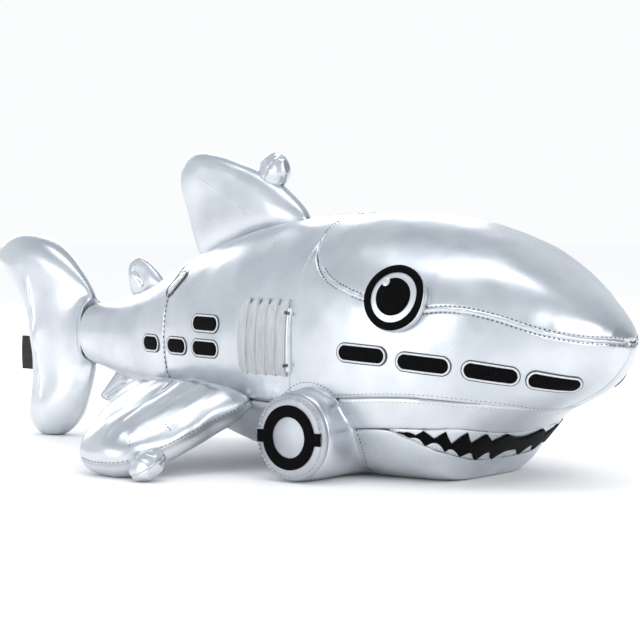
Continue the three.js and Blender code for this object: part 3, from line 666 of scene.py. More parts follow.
def sew_trunk():
    deep, shallow, closed = (2.2, 0.55), (1.0, 0.16), (1.0, 0.25)
    nose, flat, rear = (0.6, 0.5), (0.25, 0.12), (1.5, 0.4)
    panels = [  # piece, node, course, cells, seams, swell
        ("crown_sewn", "crown_panel", crown_course, (120, 150), [nose, (0.7, 0.2), deep, deep], 1),
        ("cheek_sewn", "cheek_panel", cheek_course, (150, 84), [nose, flat, deep, shallow], 1),
        ("flank_sewn", "flank_panel", flank_course, (74, 96), [flat, rear, (1.3, 0.25), deep], 1),
        ("tail_section_sewn", "tail_section", tail_course, (62, 96), [rear, (1.0, 0.4), closed, closed], 1),
        ("belly_sewn", "belly_panel", belly_course, (70, 90), [closed, rear, deep, deep], 1),
        ("chin_sewn", "chin_panel", chin_course, (50, 90), [closed, closed, closed, closed], 1),
        ("jaw_band_sewn", "jaw_band", jaw_course, (190, 22), [closed, closed, shallow, shallow], 0.7),
        ("mouth_band_sewn", "mouth_panel", mouth_course, (170, 20), [closed, closed, shallow, shallow], 0.5),
    ]
    for seed, (name, node, course, cells, seams, swell) in enumerate(panels, 1):
        finish = finish_pair if name in ("cheek_sewn", "flank_sewn", "tail_section_sewn") else finish_piece
        finish(trunk_panel(course, cells, seams, swell, seed), name, FOIL, "trunk", node, fill=0.95)


def stuff_trunk():
    """The fibre inside: a lumpy body just under the panels."""
    bm = bmesh.new()
    bmesh.ops.create_uvsphere(bm, u_segments=48, v_segments=40, radius=1)
    x, y, z = coordinates(bm).T
    share = np.arccos(np.clip(z, -1, 1)) / np.pi
    step = mix(0.05, 0.985, share)
    points = body_point(step, np.degrees(np.arctan2(x, y)), np.full(len(x), -5.5))
    lumps = ripple(points, 14, 9)
    pole = (share < 1e-3) | (share > 0.999)
    for end in (share < 1e-3, share > 0.999):
        ring_x, top, bottom, _ = section_at(step[end])
        points[end] = np.stack([ring_x, 0 * ring_x, (top + bottom) / 2], -1)
    centre = points * (1, 0, 1)
    points = np.where(pole[:, None], points, points + (centre - points) * (0.02 + 0.02 * lumps[:, None]))
    move_to(bm, points)
    finish_piece(bm, "fibre_stuffing", FIBRE, "trunk", "stuffing_core", slot="stuffing", fill=0.9)


# ---------------------------------------------------------------- stitching

STITCH_PITCH = 2.7
STITCH_LENGTH = 0.62  # as a share of the pitch
THREAD = 0.55


def evenly(points, pitch):
    """Points along a line every pitch millimetres."""
    points = np.asarray(points, float)
    lengths = np.concatenate([[0], np.cumsum(np.linalg.norm(np.diff(points, axis=0), axis=1))])
    count = max(2, int(lengths[-1] / pitch))
    at = (np.arange(count) + 0.5) * lengths[-1] / count
    return np.stack([np.interp(at, lengths, points[:, i]) for i in range(3)], -1)


def laid_on(points, names):
    """The nearest surface points and normals of the named pieces."""
    found = []
    for point in points:
        hits = [sewn_surfaces[name].find_nearest(Vector(point)) for name in names]
        best = min((hit for hit in hits if hit[0] is not None), key=lambda hit: hit[3])
        found.append((best[0], best[1]))
    return found


def stitch_row(bm, line, names, pitch=STITCH_PITCH, thread=THREAD, sink=0.1):
    """Adds a row of short threads that lie on the named pieces."""
    points = evenly(line, pitch)
    places = laid_on(points, names)
    for i, (spot, normal) in enumerate(places):
        before, after = places[max(0, i - 1)][0], places[min(len(places) - 1, i + 1)][0]
        forwards = (after - before).normalized()
        side = normal.cross(forwards).normalized()
        up = forwards.cross(side)
        turn = Matrix((forwards, side, up)).transposed().to_4x4()
        size = Matrix.Diagonal((pitch * STITCH_LENGTH / 2, thread / 2, thread / 2, 1))
        place = Matrix.Translation(spot + normal * (thread / 2 - sink)) @ turn @ size
        bmesh.ops.create_icosphere(bm, subdivisions=1, radius=1, matrix=place)


def sew_rows(name, material, attach, lines, surfaces, finish=finish_piece, **options):
    """One piece of stitching with a row along each line; options go to stitch_row."""
    bm = bmesh.new()
    for line in lines:
        stitch_row(bm, line, surfaces, **options)
    finish(bm, name, material, attach)


def crown_line(offset):
    """The crown seam from the nose on the right, over the head behind the eyes, to the nose on the left."""
    steps = np.linspace(0.05, CROWN_BACK_STEP, 90)
    degrees = crown_seam(steps)
    over = np.linspace(38, -38, 40)[1:-1]
    path_steps = np.concatenate([steps, np.full(len(over), CROWN_BACK_STEP), steps[::-1]])
    path_degrees = np.concatenate([degrees, over, -degrees[::-1]])
    points = body_point(path_steps, path_degrees)
    for _ in range(6):
        points[1:-1] = (points[:-2] + 2 * points[1:-1] + points[2:]) / 4
    along = unit(np.gradient(points, axis=0))
    across = unit(np.cross(skin_normal(path_steps, path_degrees), along))
    return points + across * offset, skin_normal(path_steps, path_degrees)


def seam_line(course_points, offset=0.0):
    step, degrees = course_points
    points = body_point(step, degrees)
    along = unit(np.gradient(points, axis=0))
    return points + unit(np.cross(skin_normal(step, degrees), along)) * offset


TAPE_WIDTH = 3.4


def crown_tape():
    """The folded seam allowance that stands up between the two rows of topstitching."""
    middle, normals = crown_line(0.0)
    side = unit(np.cross(normals, unit(np.gradient(middle, axis=0))))
    bm = slab(420, 8)
    a, b, layer = coordinates(bm).T
    at = a * (len(middle) - 1)
    index = np.arange(len(middle))

    def along(rows):
        return np.stack([np.interp(at, index, rows[:, i]) for i in range(3)], -1)

    centre, out, across = along(middle), unit(along(normals)), unit(along(side))
    width = TAPE_WIDTH * (0.45 + 0.55 * np.minimum(1, 7 * np.minimum(a, 1 - a)))
    wobble = ripple(centre, 9, 11) * 0.25
    crest = 1 - (2 * b - 1) ** 2
    puckers = ripple(centre, 2.4, 12) * 0.45 * np.abs(2 * b - 1) + ripple(centre, 5, 13) * 0.3
    lift = mix(-0.9, -0.15 + 0.95 * crest + puckers * (0.3 + crest), layer)
    points = centre + across * ((b - 0.5) * width + wobble)[:, None] + out * lift[:, None]
    move_to(bm, points)
    finish_piece(bm, "crown_seam_tape", FOIL, "trunk")


TRUNK_PIECES = [
    "crown_sewn", "cheek_sewn_right", "cheek_sewn_left", "flank_sewn_right", "flank_sewn_left",
    "tail_section_sewn_right", "tail_section_sewn_left", "belly_sewn", "chin_sewn", "jaw_band_sewn",
    "mouth_band_sewn",
]


def trunk_stitching():
    """Rows of visible thread along the trunk's seams."""
    edge = TAPE_WIDTH / 2 + 0.3
    lines = [crown_line(offset)[0] for offset in (-edge, edge)]
    sew_rows("crown_topstitching", DARK_THREAD, "trunk", lines, TRUNK_PIECES)

    ring = seam_line((np.full(70, REAR_SEAM_STEP), np.linspace(6, 130, 70)))
    sew_rows(
        "rear_seam_stitching", DARK_THREAD, "trunk", [ring], TRUNK_PIECES, finish_pair, pitch=3.2, sink=-0.3
    )

    share = np.linspace(0, 1, 70)
    jaw_upper = jaw_course(share, np.zeros(70))
    lines = [seam_line(jaw_upper, offset) for offset in (-2.4, 2.2)]
    sew_rows("jaw_stitching", GREY_THREAD, "trunk", lines, TRUNK_PIECES, thread=0.4)

    lips = bmesh.new()
    stitch_row(lips, seam_line(jaw_course(share, np.ones(70))), TRUNK_PIECES, thread=0.45, sink=-0.2)
    stitch_row(lips, seam_line(mouth_course(share, np.ones(70)), 1.2), TRUNK_PIECES, thread=0.45)
    finish_piece(lips, "lip_stitching", DARK_THREAD, "trunk")

    spine = (np.linspace(CROWN_BACK_STEP + 0.01, 0.99, 90), np.full(90, 0.5))
    lines = [seam_line(spine, offset) for offset in (-2.2, 2.2)]
    sew_rows("back_stitching", GREY_THREAD, "trunk", lines, TRUNK_PIECES, thread=0.45)


# ---------------------------------------------------------------- mouth

MOUTH_POINTS = 12


def zigzag_mouth():
    """Black satin between the teeth: sharp points above and below, pinched between two teeth. The upper
    teeth are straight sided, the lower ones round and leaning forwards."""
    bm = slab(2 * MOUTH_POINTS * 14, 8)
    a, b, layer = coordinates(bm).T
    along = 1 - np.abs(2 * a - 1)
    tooth = (along * MOUTH_POINTS / 2) % 1
    upper = 1 - np.abs(2 * tooth - 1)
    leaned = ((tooth + 0.5) % 1) ** 1.25
    lower = (2 * leaned - 1) ** 2
    neck = mix(0.05, 0.16, along)
    open_share = 0.43 * np.clip(6 * along, 0.1, 1)
    above = neck + (open_share - neck) * upper
    below = neck + (open_share - neck) * lower
    across = 0.47 + (2 * b - 1) * np.where(b < 0.5, above, below)
    forwards = 0.06 + 0.55 * along + 0.39 * along * along
    upright_share = np.minimum(1, 3 * forwards) * np.minimum(1, 4 * (1 - forwards))
    share = (forwards + 0.1 * (across - 0.1) * upright_share) / 2
    step, degrees = mouth_course(np.where(a < 0.5, share, 1 - share), across)
    crest = 1 - (2 * b - 1) ** 4
    points = body_point(step, degrees, mix(0.2, 0.75 + 0.4 * crest, layer))
    points[:, 2] = np.maximum(points[:, 2], 0.5)
    move_to(bm, points)
    finish_piece(bm, "mouth_zigzag_satin", SATIN, "trunk", "mouth_zigzag", slot="black_felt", sharp=50)


# ---------------------------------------------------------------- eyes

EYE_X, EYE_Z = 141, 105
EYE_RADIUS = 17.3
EYE_RIM_RADIUS = 13.4
PUPIL_RADIUS = 10.1
EYE_TOP = 5.7
SATIN_EDGE = {"slot": "black_felt", "sharp": 60}  # how a satin or outline piece is finished


def eyes():
    wrap = wrapper(EYE_X, EYE_Z)
    edge = EYE_RADIUS + 1.0
    pad = lathe([
        (0, 0.3), (edge * 0.6, 0.3), (edge - 0.6, 0.2), (edge + 0.3, 1.4), (edge + 0.2, 3.2),
        (edge - 0.6, 4.8), (edge - 2, 5.6), (EYE_RIM_RADIUS, EYE_TOP + 0.2), (PUPIL_RADIUS, EYE_TOP + 0.4),
        (0, EYE_TOP + 0.4),
    ], 96)
    bmesh.ops.subdivide_edges(pad, edges=pad.edges[:], cuts=1, use_grid_fill=True)
    wrapped(pad, wrap)
    points = coordinates(pad)
    centre = skin_point(step_at(EYE_X), float(angle_at_height(step_at(EYE_X), EYE_Z)))
    rim = np.clip((np.linalg.norm(points - centre, axis=1) - 14) / 5, 0, 1)
    turn = np.degrees(np.arctan2(points[:, 2] - EYE_Z, points[:, 0] - EYE_X))
    gathers = np.sin(np.radians(turn * 31)) * ripple(points, 6, 3) * rim * 0.35
    move_to(pad, points + unit(points - centre) * gathers[:, None])
    finish_pair(pad, "eye_cushion", FOIL_TRIM, "trunk", "eye_pad", fill=0.8)

    ring = lathe([
        (EYE_RIM_RADIUS, EYE_TOP), (EYE_RIM_RADIUS + 0.3, EYE_TOP + 1.1), (EYE_RIM_RADIUS + 1, EYE_TOP + 1.4),
        (EYE_RADIUS - 1, EYE_TOP + 1.3), (EYE_RADIUS + 0.1, EYE_TOP + 0.9), (EYE_RADIUS + 0.4, EYE_TOP - 0.4),
        (EYE_RADIUS - 1, EYE_TOP - 0.6),
    ], 96)
    finish_pair(wrapped(ring, wrap), "eye_outer_ring", SATIN, "trunk", "eye_ring", **SATIN_EDGE)
    pupil = lathe([
        (0, EYE_TOP), (PUPIL_RADIUS, EYE_TOP), (PUPIL_RADIUS - 0.1, EYE_TOP + 1),
        (PUPIL_RADIUS - 0.9, EYE_TOP + 1.5), (PUPIL_RADIUS * 0.5, EYE_TOP + 1.7), (0, EYE_TOP + 1.8),
    ], 72)
    finish_pair(wrapped(pupil, wrap), "eye_pupil_satin", SATIN, "trunk", "eye_pupil", **SATIN_EDGE)
    glint = lathe([
        (0, EYE_TOP), (2.5, EYE_TOP), (2.3, EYE_TOP + 2), (1.2, EYE_TOP + 2.3), (0, EYE_TOP + 2.4),
    ], 24)
    bmesh.ops.translate(glint, vec=(-5.0, 7.4, 0), verts=glint.verts)
    finish_pair(wrapped(glint, wrap), "eye_glint", FOIL_TRIM, "trunk", sharp=60)


# ---------------------------------------------------------------- windows and patches

WINDOW_HEIGHT = 11.5
BORDER = 1.1  # pale satin border inside the dark outline
# each window's middle (x, z), length and tilt in degrees
HEAD_WINDOWS = [(221, 60, 33, -9), (194, 65.5, 33, -8), (159, 70, 33, -5), (121, 74, 33, -3)]
REAR_WINDOWS = [(-6, 71, 28, 0), (-35.5, 71, 22.5, 0), (-64.5, 71, 20.5, 0), (-6, 86, 28, 0)]


def oval_disc(length, height, low, high, crown=0.35):
    """A flat padded stadium: the shape of a satin-stitched patch."""
    radius = height / 2
    profile = [
        (0, low), (radius * 0.9, low), (radius, low), (radius, high - 0.2), (radius - 0.35, high),
        (radius * 0.6, high + crown), (0, high + crown),
    ]
    return stretched(lathe(profile, 40), length / 2 - radius)


def oval_ring(length, height, width, low, high):
    """A raised stadium-shaped rim of satin stitch."""
    radius = height / 2
    profile = [
        (radius - width, low), (radius - width, high - 0.2), (radius - width * 0.75, high),
        (radius - width * 0.25, high), (radius, high - 0.25), (radius, low),
    ]
    return stretched(lathe(profile, 40), length / 2 - radius)


def add_shape(target, bm):
    """Moves the faces of bm into target."""
    scratch = bpy.data.meshes.new("scratch")
    bm.to_mesh(scratch)
    bm.free()
    target.from_mesh(scratch)
    bpy.data.meshes.remove(scratch)


def windows():
    borders, outlines = bmesh.new(), bmesh.new()
    named = [(f"head_window_{i}", row) for i, row in enumerate(HEAD_WINDOWS, 1)]
    named += [(f"rear_window_{i}", row) for i, row in enumerate(REAR_WINDOWS, 1)]
    for name, (x, z, length, tilt) in named:
        wrap = wrapper(x, z, tilt)
        pane = oval_disc(length - 2 * BORDER - 1.2, WINDOW_HEIGHT - 2 * BORDER - 1.2, 0.1, 0.8)
        finish_pair(wrapped(pane, wrap), name + "_satin", SATIN, "trunk", name, **SATIN_EDGE)
        rim = oval_ring(length - 1.0, WINDOW_HEIGHT - 1.0, BORDER, 0.1, 1.0)
        add_shape(borders, wrapped(rim, wrap))
        line = oval_ring(length + 0.1, WINDOW_HEIGHT + 0.1, 0.6, 0.0, 0.75)
        add_shape(outlines, wrapped(line, wrap))
    finish_pair(borders, "window_borders", SILVER_THREAD, "trunk", slot="foil", sharp=60)
    finish_pair(outlines, "window_outlines", DARK_THREAD, "trunk", **SATIN_EDGE)


def back_patches():
    wrap = wrapper(-46, 109, 62)
    patch = oval_disc(18.5, 8.6, 0.1, 0.5, crown=0.5)
    finish_pair(wrapped(patch, wrap), "back_patch_foil", FOIL_TRIM, "trunk", "back_patch", sharp=60)
    rim = bmesh.new()
    add_shape(rim, wrapped(oval_ring(21.5, 11.2, 0.4, 0.0, 0.45), wrap))
    add_shape(rim, wrapped(oval_ring(18.7, 8.8, 0.35, 0.1, 0.7), wrap))
    finish_pair(rim, "back_patch_outline", DARK_THREAD, "trunk", **SATIN_EDGE)
    rows = bmesh.new()
    turn = np.radians(np.linspace(-80, 80, 24))
    zeros = np.zeros(24)
    arc = wrap(9.0 * np.sin(turn), -2.6 - 0.9 * np.cos(turn), zeros + 0.6)
    spots = evenly(arc, 1.3)
    for spot, (_, normal) in zip(spots, laid_on(spots, TRUNK_PIECES)):
        upwards = Vector((0.35, 0, 0.9))
        turn_to = normal.cross(upwards).cross(normal).normalized()
        side = turn_to.cross(normal)
        basis = Matrix((side, turn_to, normal)).transposed().to_4x4()
        size = Matrix.Diagonal((0.9, 0.35, 0.35, 1))
        place = Matrix.Translation(spot) @ basis @ size
        bmesh.ops.create_icosphere(rows, subdivisions=1, radius=1, matrix=place)
    finish_pair(rows, "back_patch_bars", DARK_THREAD, "trunk", slot="black_felt")


# ---------------------------------------------------------------- gill blocks

GILL_FRONT, GILL_LENGTH, GILL_HEIGHT, GILL_MIDDLE_Z = 67, 41, 42, 80
GILL_PLEATS, GILL_TOOTH = 5, 4.4
PLEAT_COLUMNS = 8


def gill_blocks():
    """A block of overlapping pleats: each rises towards the front and drops to the next one."""
    wrap = wrapper(GILL_FRONT - GILL_LENGTH / 2, GILL_MIDDLE_Z)
    bm = slab(GILL_PLEATS * PLEAT_COLUMNS, 44)
    a, b, layer = coordinates(bm).T
    column = np.round(a * GILL_PLEATS * PLEAT_COLUMNS)
    rise = (column % PLEAT_COLUMNS) / (PLEAT_COLUMNS - 1)
    rise = np.where(column == GILL_PLEATS * PLEAT_COLUMNS, 1.0, rise)
    pleat = np.minimum(column // PLEAT_COLUMNS, GILL_PLEATS - 1)
    length = GILL_LENGTH / GILL_PLEATS
    l = (pleat + np.where(column == GILL_PLEATS * PLEAT_COLUMNS, 1, rise * 0.985)) * length
    corner = 4.5 * np.clip(1 - l / 5, 0, 1) ** 2
    half = GILL_HEIGHT / 2 - corner
    m = (2 * b - 1) * half
    over = np.clip((b - 0.86) / 0.14, 0, 1)
    under = np.clip((0.14 - b) / 0.14, 0, 1)
    m = m + over * GILL_TOOTH * (rise - 0.45) - under * 0.9 * (rise - 0.5)
    soft = ripple(np.stack([pleat * 40, m, 0 * m], -1), 17, 21)
    lean = soft * 0.35 * np.sin(np.pi * b) * (1 - (pleat == GILL_PLEATS - 1) * rise)
    folded = 0.5 + 0.75 * rise + 0.12 * soft - 0.35 * (np.abs(2 * b - 1) ** 6)
    lift = mix(0.1, 0.7 + folded, layer)
    move_to(bm, wrap(l + lean - GILL_LENGTH / 2, m, lift))
    finish_pair(
        bm, "gill_pleats", RIBBON, "gill_block_right", "gill_block", slot="grey_pleat", fill=0.2, sharp=40
    )

    fold = slab(10, 50)
    a, b, layer = coordinates(fold).T
    l = GILL_LENGTH / 2 + mix(-0.4, 3.4 - 0.5 * b, a)
    m = mix(-GILL_HEIGHT / 2 + 2.5, GILL_HEIGHT / 2 - 3.2, b)
    crest = np.sin(np.pi * a) ** 0.6
    lift = mix(-0.4, 0.5 + 1.6 * crest + 0.25 * ripple(np.stack([a, m, a], -1), 6, 5), layer)
    move_to(fold, wrap(l, m, lift))
    finish_pair(fold, "gill_fold", FOIL, "trunk", sharp=60)

    tacks = bmesh.new()
    for m_spot, lean_way in ((GILL_HEIGHT / 2 - 6.5, -1), (-GILL_HEIGHT / 2 + 5.5, 1)):
        for turn in range(3):
            across = np.linspace(-2.2, 2.2, 9)
            arch = 2.6 - 0.5 * (across / 2.2) ** 2
            bar = wrap(GILL_LENGTH / 2 + 0.8 + across, m_spot + turn * 0.6 + lean_way * 0.12 * across, arch)
            for first, second in zip(bar, bar[1:]):
                way = Vector(second - first)
                turned = way.to_track_quat("X", "Z").to_matrix().to_4x4()
                place = Matrix.Translation(Vector((first + second) / 2)) @ turned
                size = Matrix.Diagonal((way.length * 0.62, 0.3, 0.3, 1))
                bmesh.ops.create_icosphere(tacks, subdivisions=1, radius=1, matrix=place @ size)
    zero = np.zeros(2)
    start, end = wrap(GILL_LENGTH / 2 + np.array([0.5, -2.0]), zero, zero + 1.5)
    attach = ("trunk", "gill_block_right", start, end)
    finish_pair(tacks, "gill_tacks", DARK_THREAD, attach, slot="black_felt")


# ---------------------------------------------------------------- bosses

BOSS_RADIUS = 26
BOSS_X, BOSS_Z = middle_mm("boss_disc_right")[[0, 2]]
BOSS_FACE_Y = box_mm("boss_barrel_right")[0][1]
RING_OUTER, RING_INNER, RING_TAB = 18.5, 11.7, 4
DISC_SEAM_RADIUS = 22.8


def boss_wrap(l, m, lift):
    return np.stack([BOSS_X + l, BOSS_FACE_Y - lift, np.maximum(FLOOR, BOSS_Z + m)], -1)


def boss_barrels():
    """The stuffed barrel: its root lies on the cheek, its outer end rolls into the disc's seam."""
    rows = [(28.6, 0.0), (27.4, 0.04), (26.6, 0.12), (26.1, 0.25), (26, 0.45), (26.1, 0.65), (26, 0.8),
            (25.6, 0.9), (24.9, 0.965), (23.6, 1.0), (22, 0.99)]
    bm = lathe([(radius, share * 50) for radius, share in rows] + [(20, 45), (20, 2), (26, 0)], 110)
    bmesh.ops.subdivide_edges(bm, edges=bm.edges[:], cuts=1, use_grid_fill=True)
    x, y, share = coordinates(bm).T
    share = share / 50
    turn = np.stack([x, y, 0 * x], -1)
    wrinkle = ripple(unit(turn) * 26, 7, 31) * np.exp(-np.abs(share - 0.12) / 0.12) * 0.7
    wrinkle += ripple(turn + np.stack([0 * x, 0 * x, share * 12], -1), 13, 32) * 0.6
    radial = unit(turn) * wrinkle[:, None]
    l, m = x + radial[:, 0], y + radial[:, 1]
    spot_x, spot_z = BOSS_X + l, np.maximum(1.0, BOSS_Z + m)
    root = side_point(spot_x, spot_z)[:, 1] + 1.2
    points = np.stack([spot_x, mix(root, BOSS_FACE_Y - 0.6, share), np.maximum(FLOOR, BOSS_Z + m)], -1)
    move_to(bm, points)
    bmesh.ops.recalc_face_normals(bm, faces=bm.faces)
    finish_pair(bm, "boss_barrel_sewn", FOIL, "trunk", "boss_barrel", fill=0.95)

    disc = lathe([
        (0, -4), (21, -4), (24.2, -1.5), (25.1, 0.4), (25, 1.9), (24.2, 3.3), (23.2, 4.0), (22.7, 3.75),
        (22, 4.25), (19, 4.75), (15, 4.7), (RING_INNER, 4.8), (8, 5.5), (4, 5.9), (0, 6),
    ], 110)
    bmesh.ops.subdivide_edges(disc, edges=disc.edges[:], cuts=1, use_grid_fill=True)
    x, y, z = coordinates(disc).T
    rim = np.exp(-np.abs(np.hypot(x, y) - DISC_SEAM_RADIUS) / 2.2)
    gathers = ripple(unit(np.stack([x, y, 0 * x], -1)) * 26, 4.2, 33) * rim * 0.4
    move_to(disc, boss_wrap(x, y, z + gathers + 0.35 * ripple(np.stack([x, y, z], -1), 11, 34)))
    bmesh.ops.recalc_face_normals(disc, faces=disc.faces)
    finish_pair(disc, "boss_disc_sewn", FOIL_MATT, "trunk", "boss_disc", fill=0.85)

    turns = np.radians(np.linspace(0, 360, 140))
    circle = boss_wrap(DISC_SEAM_RADIUS * np.cos(turns), DISC_SEAM_RADIUS * np.sin(turns), np.full(140, 4.6))
    surface = ["boss_disc_sewn_right"]
    sew_rows("boss_disc_stitching", GREY_THREAD, "trunk", [circle], surface, finish_pair, thread=0.45)

    turns = np.radians(np.linspace(-52, 205, 90))
    radius = BOSS_RADIUS + 4.2
    arc_x, arc_z = BOSS_X + radius * np.cos(turns), BOSS_Z + radius * np.sin(turns)
    arch = side_point(arc_x, np.maximum(arc_z, 2.0))
    sew_rows("boss_root_stitching", DARK_THREAD, "trunk", [arch], TRUNK_PIECES, finish_pair, thread=0.45)


def boss_rings():
    """Black satin ring with a square tab in front and one behind."""
    bm = lathe([
        (RING_INNER, 4.2), (RING_INNER + 0.1, 5.6), (RING_INNER + 0.8, 6.0), (RING_OUTER - 0.8, 6.0),
        (RING_OUTER, 5.6), (RING_OUTER, 4.2),
    ], 96)
    for side in (-1, 1):
        tab = bmesh.new()
        middle = Matrix.Translation((side * (RING_OUTER + RING_TAB / 2 - 0.6), 0, 5.0))
        size = Matrix.Diagonal((RING_TAB + 1.4, RING_TAB * 1.8, 1.7, 1))
        bmesh.ops.create_cube(tab, size=1, matrix=middle @ size)
        bmesh.ops.bevel(
            tab, geom=tab.edges[:], offset=0.35, segments=2, affect="EDGES", profile=0.5, material=-1
        )
        add_shape(bm, tab)
    x, y, z = coordinates(bm).T
    move_to(bm, boss_wrap(x, y, z + 0.35 * ripple(np.stack([x, y, z], -1), 11, 34)))
    finish_pair(bm, "boss_ring_satin", SATIN, "trunk", "boss_ring", slot="black_felt", sharp=45)


# ---------------------------------------------------------------- fins


def rounded_loop(points, share):
    """Points at shares 0 to 1 round a smooth closed line through the given points."""
    points = np.array(points, float)
    at = (share % 1) * len(points)
    i = np.floor(at).astype(int)
    t = (at - i)[:, None]
    before, first, second, after = (points[(i + k) % len(points)] for k in (-1, 0, 1, 2))

    def gap(p, q):
        return np.sqrt(np.linalg.norm(q - p, axis=1))[:, None]

    d0, d1, d2 = gap(before, first), gap(first, second), gap(second, after)
    leave = ((first - before) / d0 - (second - before) / (d0 + d1) + (second - first) / d1) * d1
    reach = ((second - first) / d1 - (after - first) / (d1 + d2) + (after - second) / d2) * d1
    bend = -3 * first + 3 * second - 2 * leave - reach
    return first + leave * t + bend * t**2 + (2 * first - 2 * second + leave + reach) * t**3


def fin_pillow(outline, spine, thickness, place, spokes=144, rings=56):
    """Two fabric sides sewn round the outline, fullest along the spine. Its rim layer marks the seam, and the
    foil darkens along it as painted shade.
    """
    bm = bmesh.new()
    bmesh.ops.create_uvsphere(bm, u_segments=spokes, v_segments=rings, radius=1)
    x, y, z = coordinates(bm).T
    reach = np.hypot(x, y)
    rim = rounded_loop(outline, (np.arctan2(y, x) / (2 * np.pi)) % 1)
    start, end = np.array(spine, float)
    along = np.clip(((rim - start) @ (end - start)) / np.sum((end - start) ** 2), 0, 1)
    root = start + along[:, None] * (end - start)
    middle = (start + end) / 2
    pole = reach < 1e-4
    flat = np.where(pole[:, None], middle, root + (rim - root) * reach[:, None])
    full = np.sign(z) * np.abs(z) ** 0.8
    move_to(bm, place(flat[:, 0], flat[:, 1], full * thickness / 2))
    # the rim layer also darkens the foil along the sewn edge: painted shade in the pinched seam
    seam = bm.verts.layers.float.new("seam")
    for vertex, height in zip(bm.verts, z):
        vertex[seam] = max(0.0, 1 - abs(height) * 9) ** 2
    bmesh.ops.recalc_face_normals(bm, faces=bm.faces)
    return bm


SIM_FRAMES = 22


def spread(bm, values, reach):
    """Values at the vertices, averaged over the fabric within about reach on the same side."""
    bm.normal_update()
    places = coordinates(bm)
    normals = np.array([vertex.normal for vertex in bm.verts])
    areas = np.array([sum(face.calc_area() for face in vertex.link_faces) for vertex in bm.verts])
    result = np.empty_like(values)
    for start in range(0, len(places), 400):
        some = slice(start, start + 400)
        away = np.sum((places[some, None] - places[None]) ** 2, axis=2)
        weight = np.exp(-away / (2 * reach**2)) * areas * (normals[some] @ normals.T > 0.2)
        result[some] = weight @ values / weight.sum(axis=1, keepdims=True)
    return result


def stuffed(bm, slack, pressure, cap, calm=0.0):
    """Blows the sewn sides up with a little too much fabric, so that it wrinkles at its held seams. No
    point moves further than cap, and calm is the reach over which the fullness is evened out at the end."""
    scene = bpy.context.scene
    before = coordinates(bm)
    bmesh.ops.scale(bm, vec=(MM, MM, MM), verts=bm.verts)
    mesh = bpy.data.meshes.new("stuffing")
    bm.to_mesh(mesh)
    pillow = bpy.data.objects.new("stuffing", mesh)
    scene.collection.objects.link(pillow)
    held = pillow.vertex_groups.new(name="held")
    seam = mesh.attributes["seam"].data
    loose = np.ones(len(before))
    for vertex in mesh.vertices:
        if seam[vertex.index].value > 0.9:
            held.add([vertex.index], 1.0, "REPLACE")
            loose[vertex.index] = 0
    cloth = pillow.modifiers.new("Cloth", "CLOTH")
    settings = cloth.settings
    settings.quality = 7
    settings.mass = 0.12
    settings.tension_stiffness = settings.compression_stiffness = 14
    settings.shear_stiffness = 4
    settings.bending_stiffness = 0.5
    settings.tension_damping = settings.compression_damping = settings.shear_damping = 5
    settings.air_damping = 2
    settings.use_pressure = True
    settings.uniform_pressure_force = pressure
    settings.effector_weights.gravity = 0
    settings.shrink_min = -slack
    settings.vertex_group_mass = "held"
    settings.pin_stiffness = 1
    cloth.point_cache.frame_start = 1
    cloth.point_cache.frame_end = SIM_FRAMES
    for number in range(1, SIM_FRAMES + 1):
        scene.frame_set(number)
    blown = pillow.evaluated_get(bpy.context.evaluated_depsgraph_get()).to_mesh()
    points = np.array([v.co for v in blown.vertices], float) / MM
    pillow.to_mesh_clear()
    bpy.data.objects.remove(pillow)
    bpy.data.meshes.remove(mesh)
    scene.frame_set(1)
    move_to(bm, before)
    move = spread(bm, points - before, 2.6) * loose[:, None]
    size = np.linalg.norm(move, axis=1, keepdims=True)
    move *= np.minimum(1, cap / np.maximum(size, 1e-9))
    points = before + move
    if calm:
        rim = points[loose == 0]
        away = np.array([np.sqrt(np.sum((rim - point) ** 2, axis=1).min()) for point in points])
        move_to(bm, points)
        points[:, 1] = mix(points, spread(bm, points, calm), np.clip((away - 5) / 12, 0, 1)[:, None])[:, 1]
    points[:, 2] = np.maximum(points[:, 2], FLOOR)
    move_to(bm, points)


def upright(u, v, w):
    return np.stack([u, w, np.maximum(v, 0)], -1)


def back_z(x, lift=0.0):
    """The height of the trunk's back at x, or lift above it."""
    return float(section_at(step_at(x))[1]) + lift


def belly_z(x, drop=0.0):
    """The height of the trunk's underside at x, or drop below it."""
    return float(section_at(step_at(x))[2]) - drop


def edge_rows(name, attach, line, surface, sides, thread):
    """Rows of thread along a line of (x, z) points, each the given distance to the side of it."""
    lines = [upright(line[:, 0], line[:, 1], np.full(len(line), side)) for side in sides]
    sew_rows(name, GREY_THREAD, attach, lines, [surface], thread=thread)


def arc_on(points, start, end, count=70):
    """Part of a rounded outline, from one share of it to another."""
    return rounded_loop(points, np.linspace(start, end, count))


DORSAL_FRONT_X, DORSAL_BACK_X, DORSAL_HEIGHT = 22, -60, 43


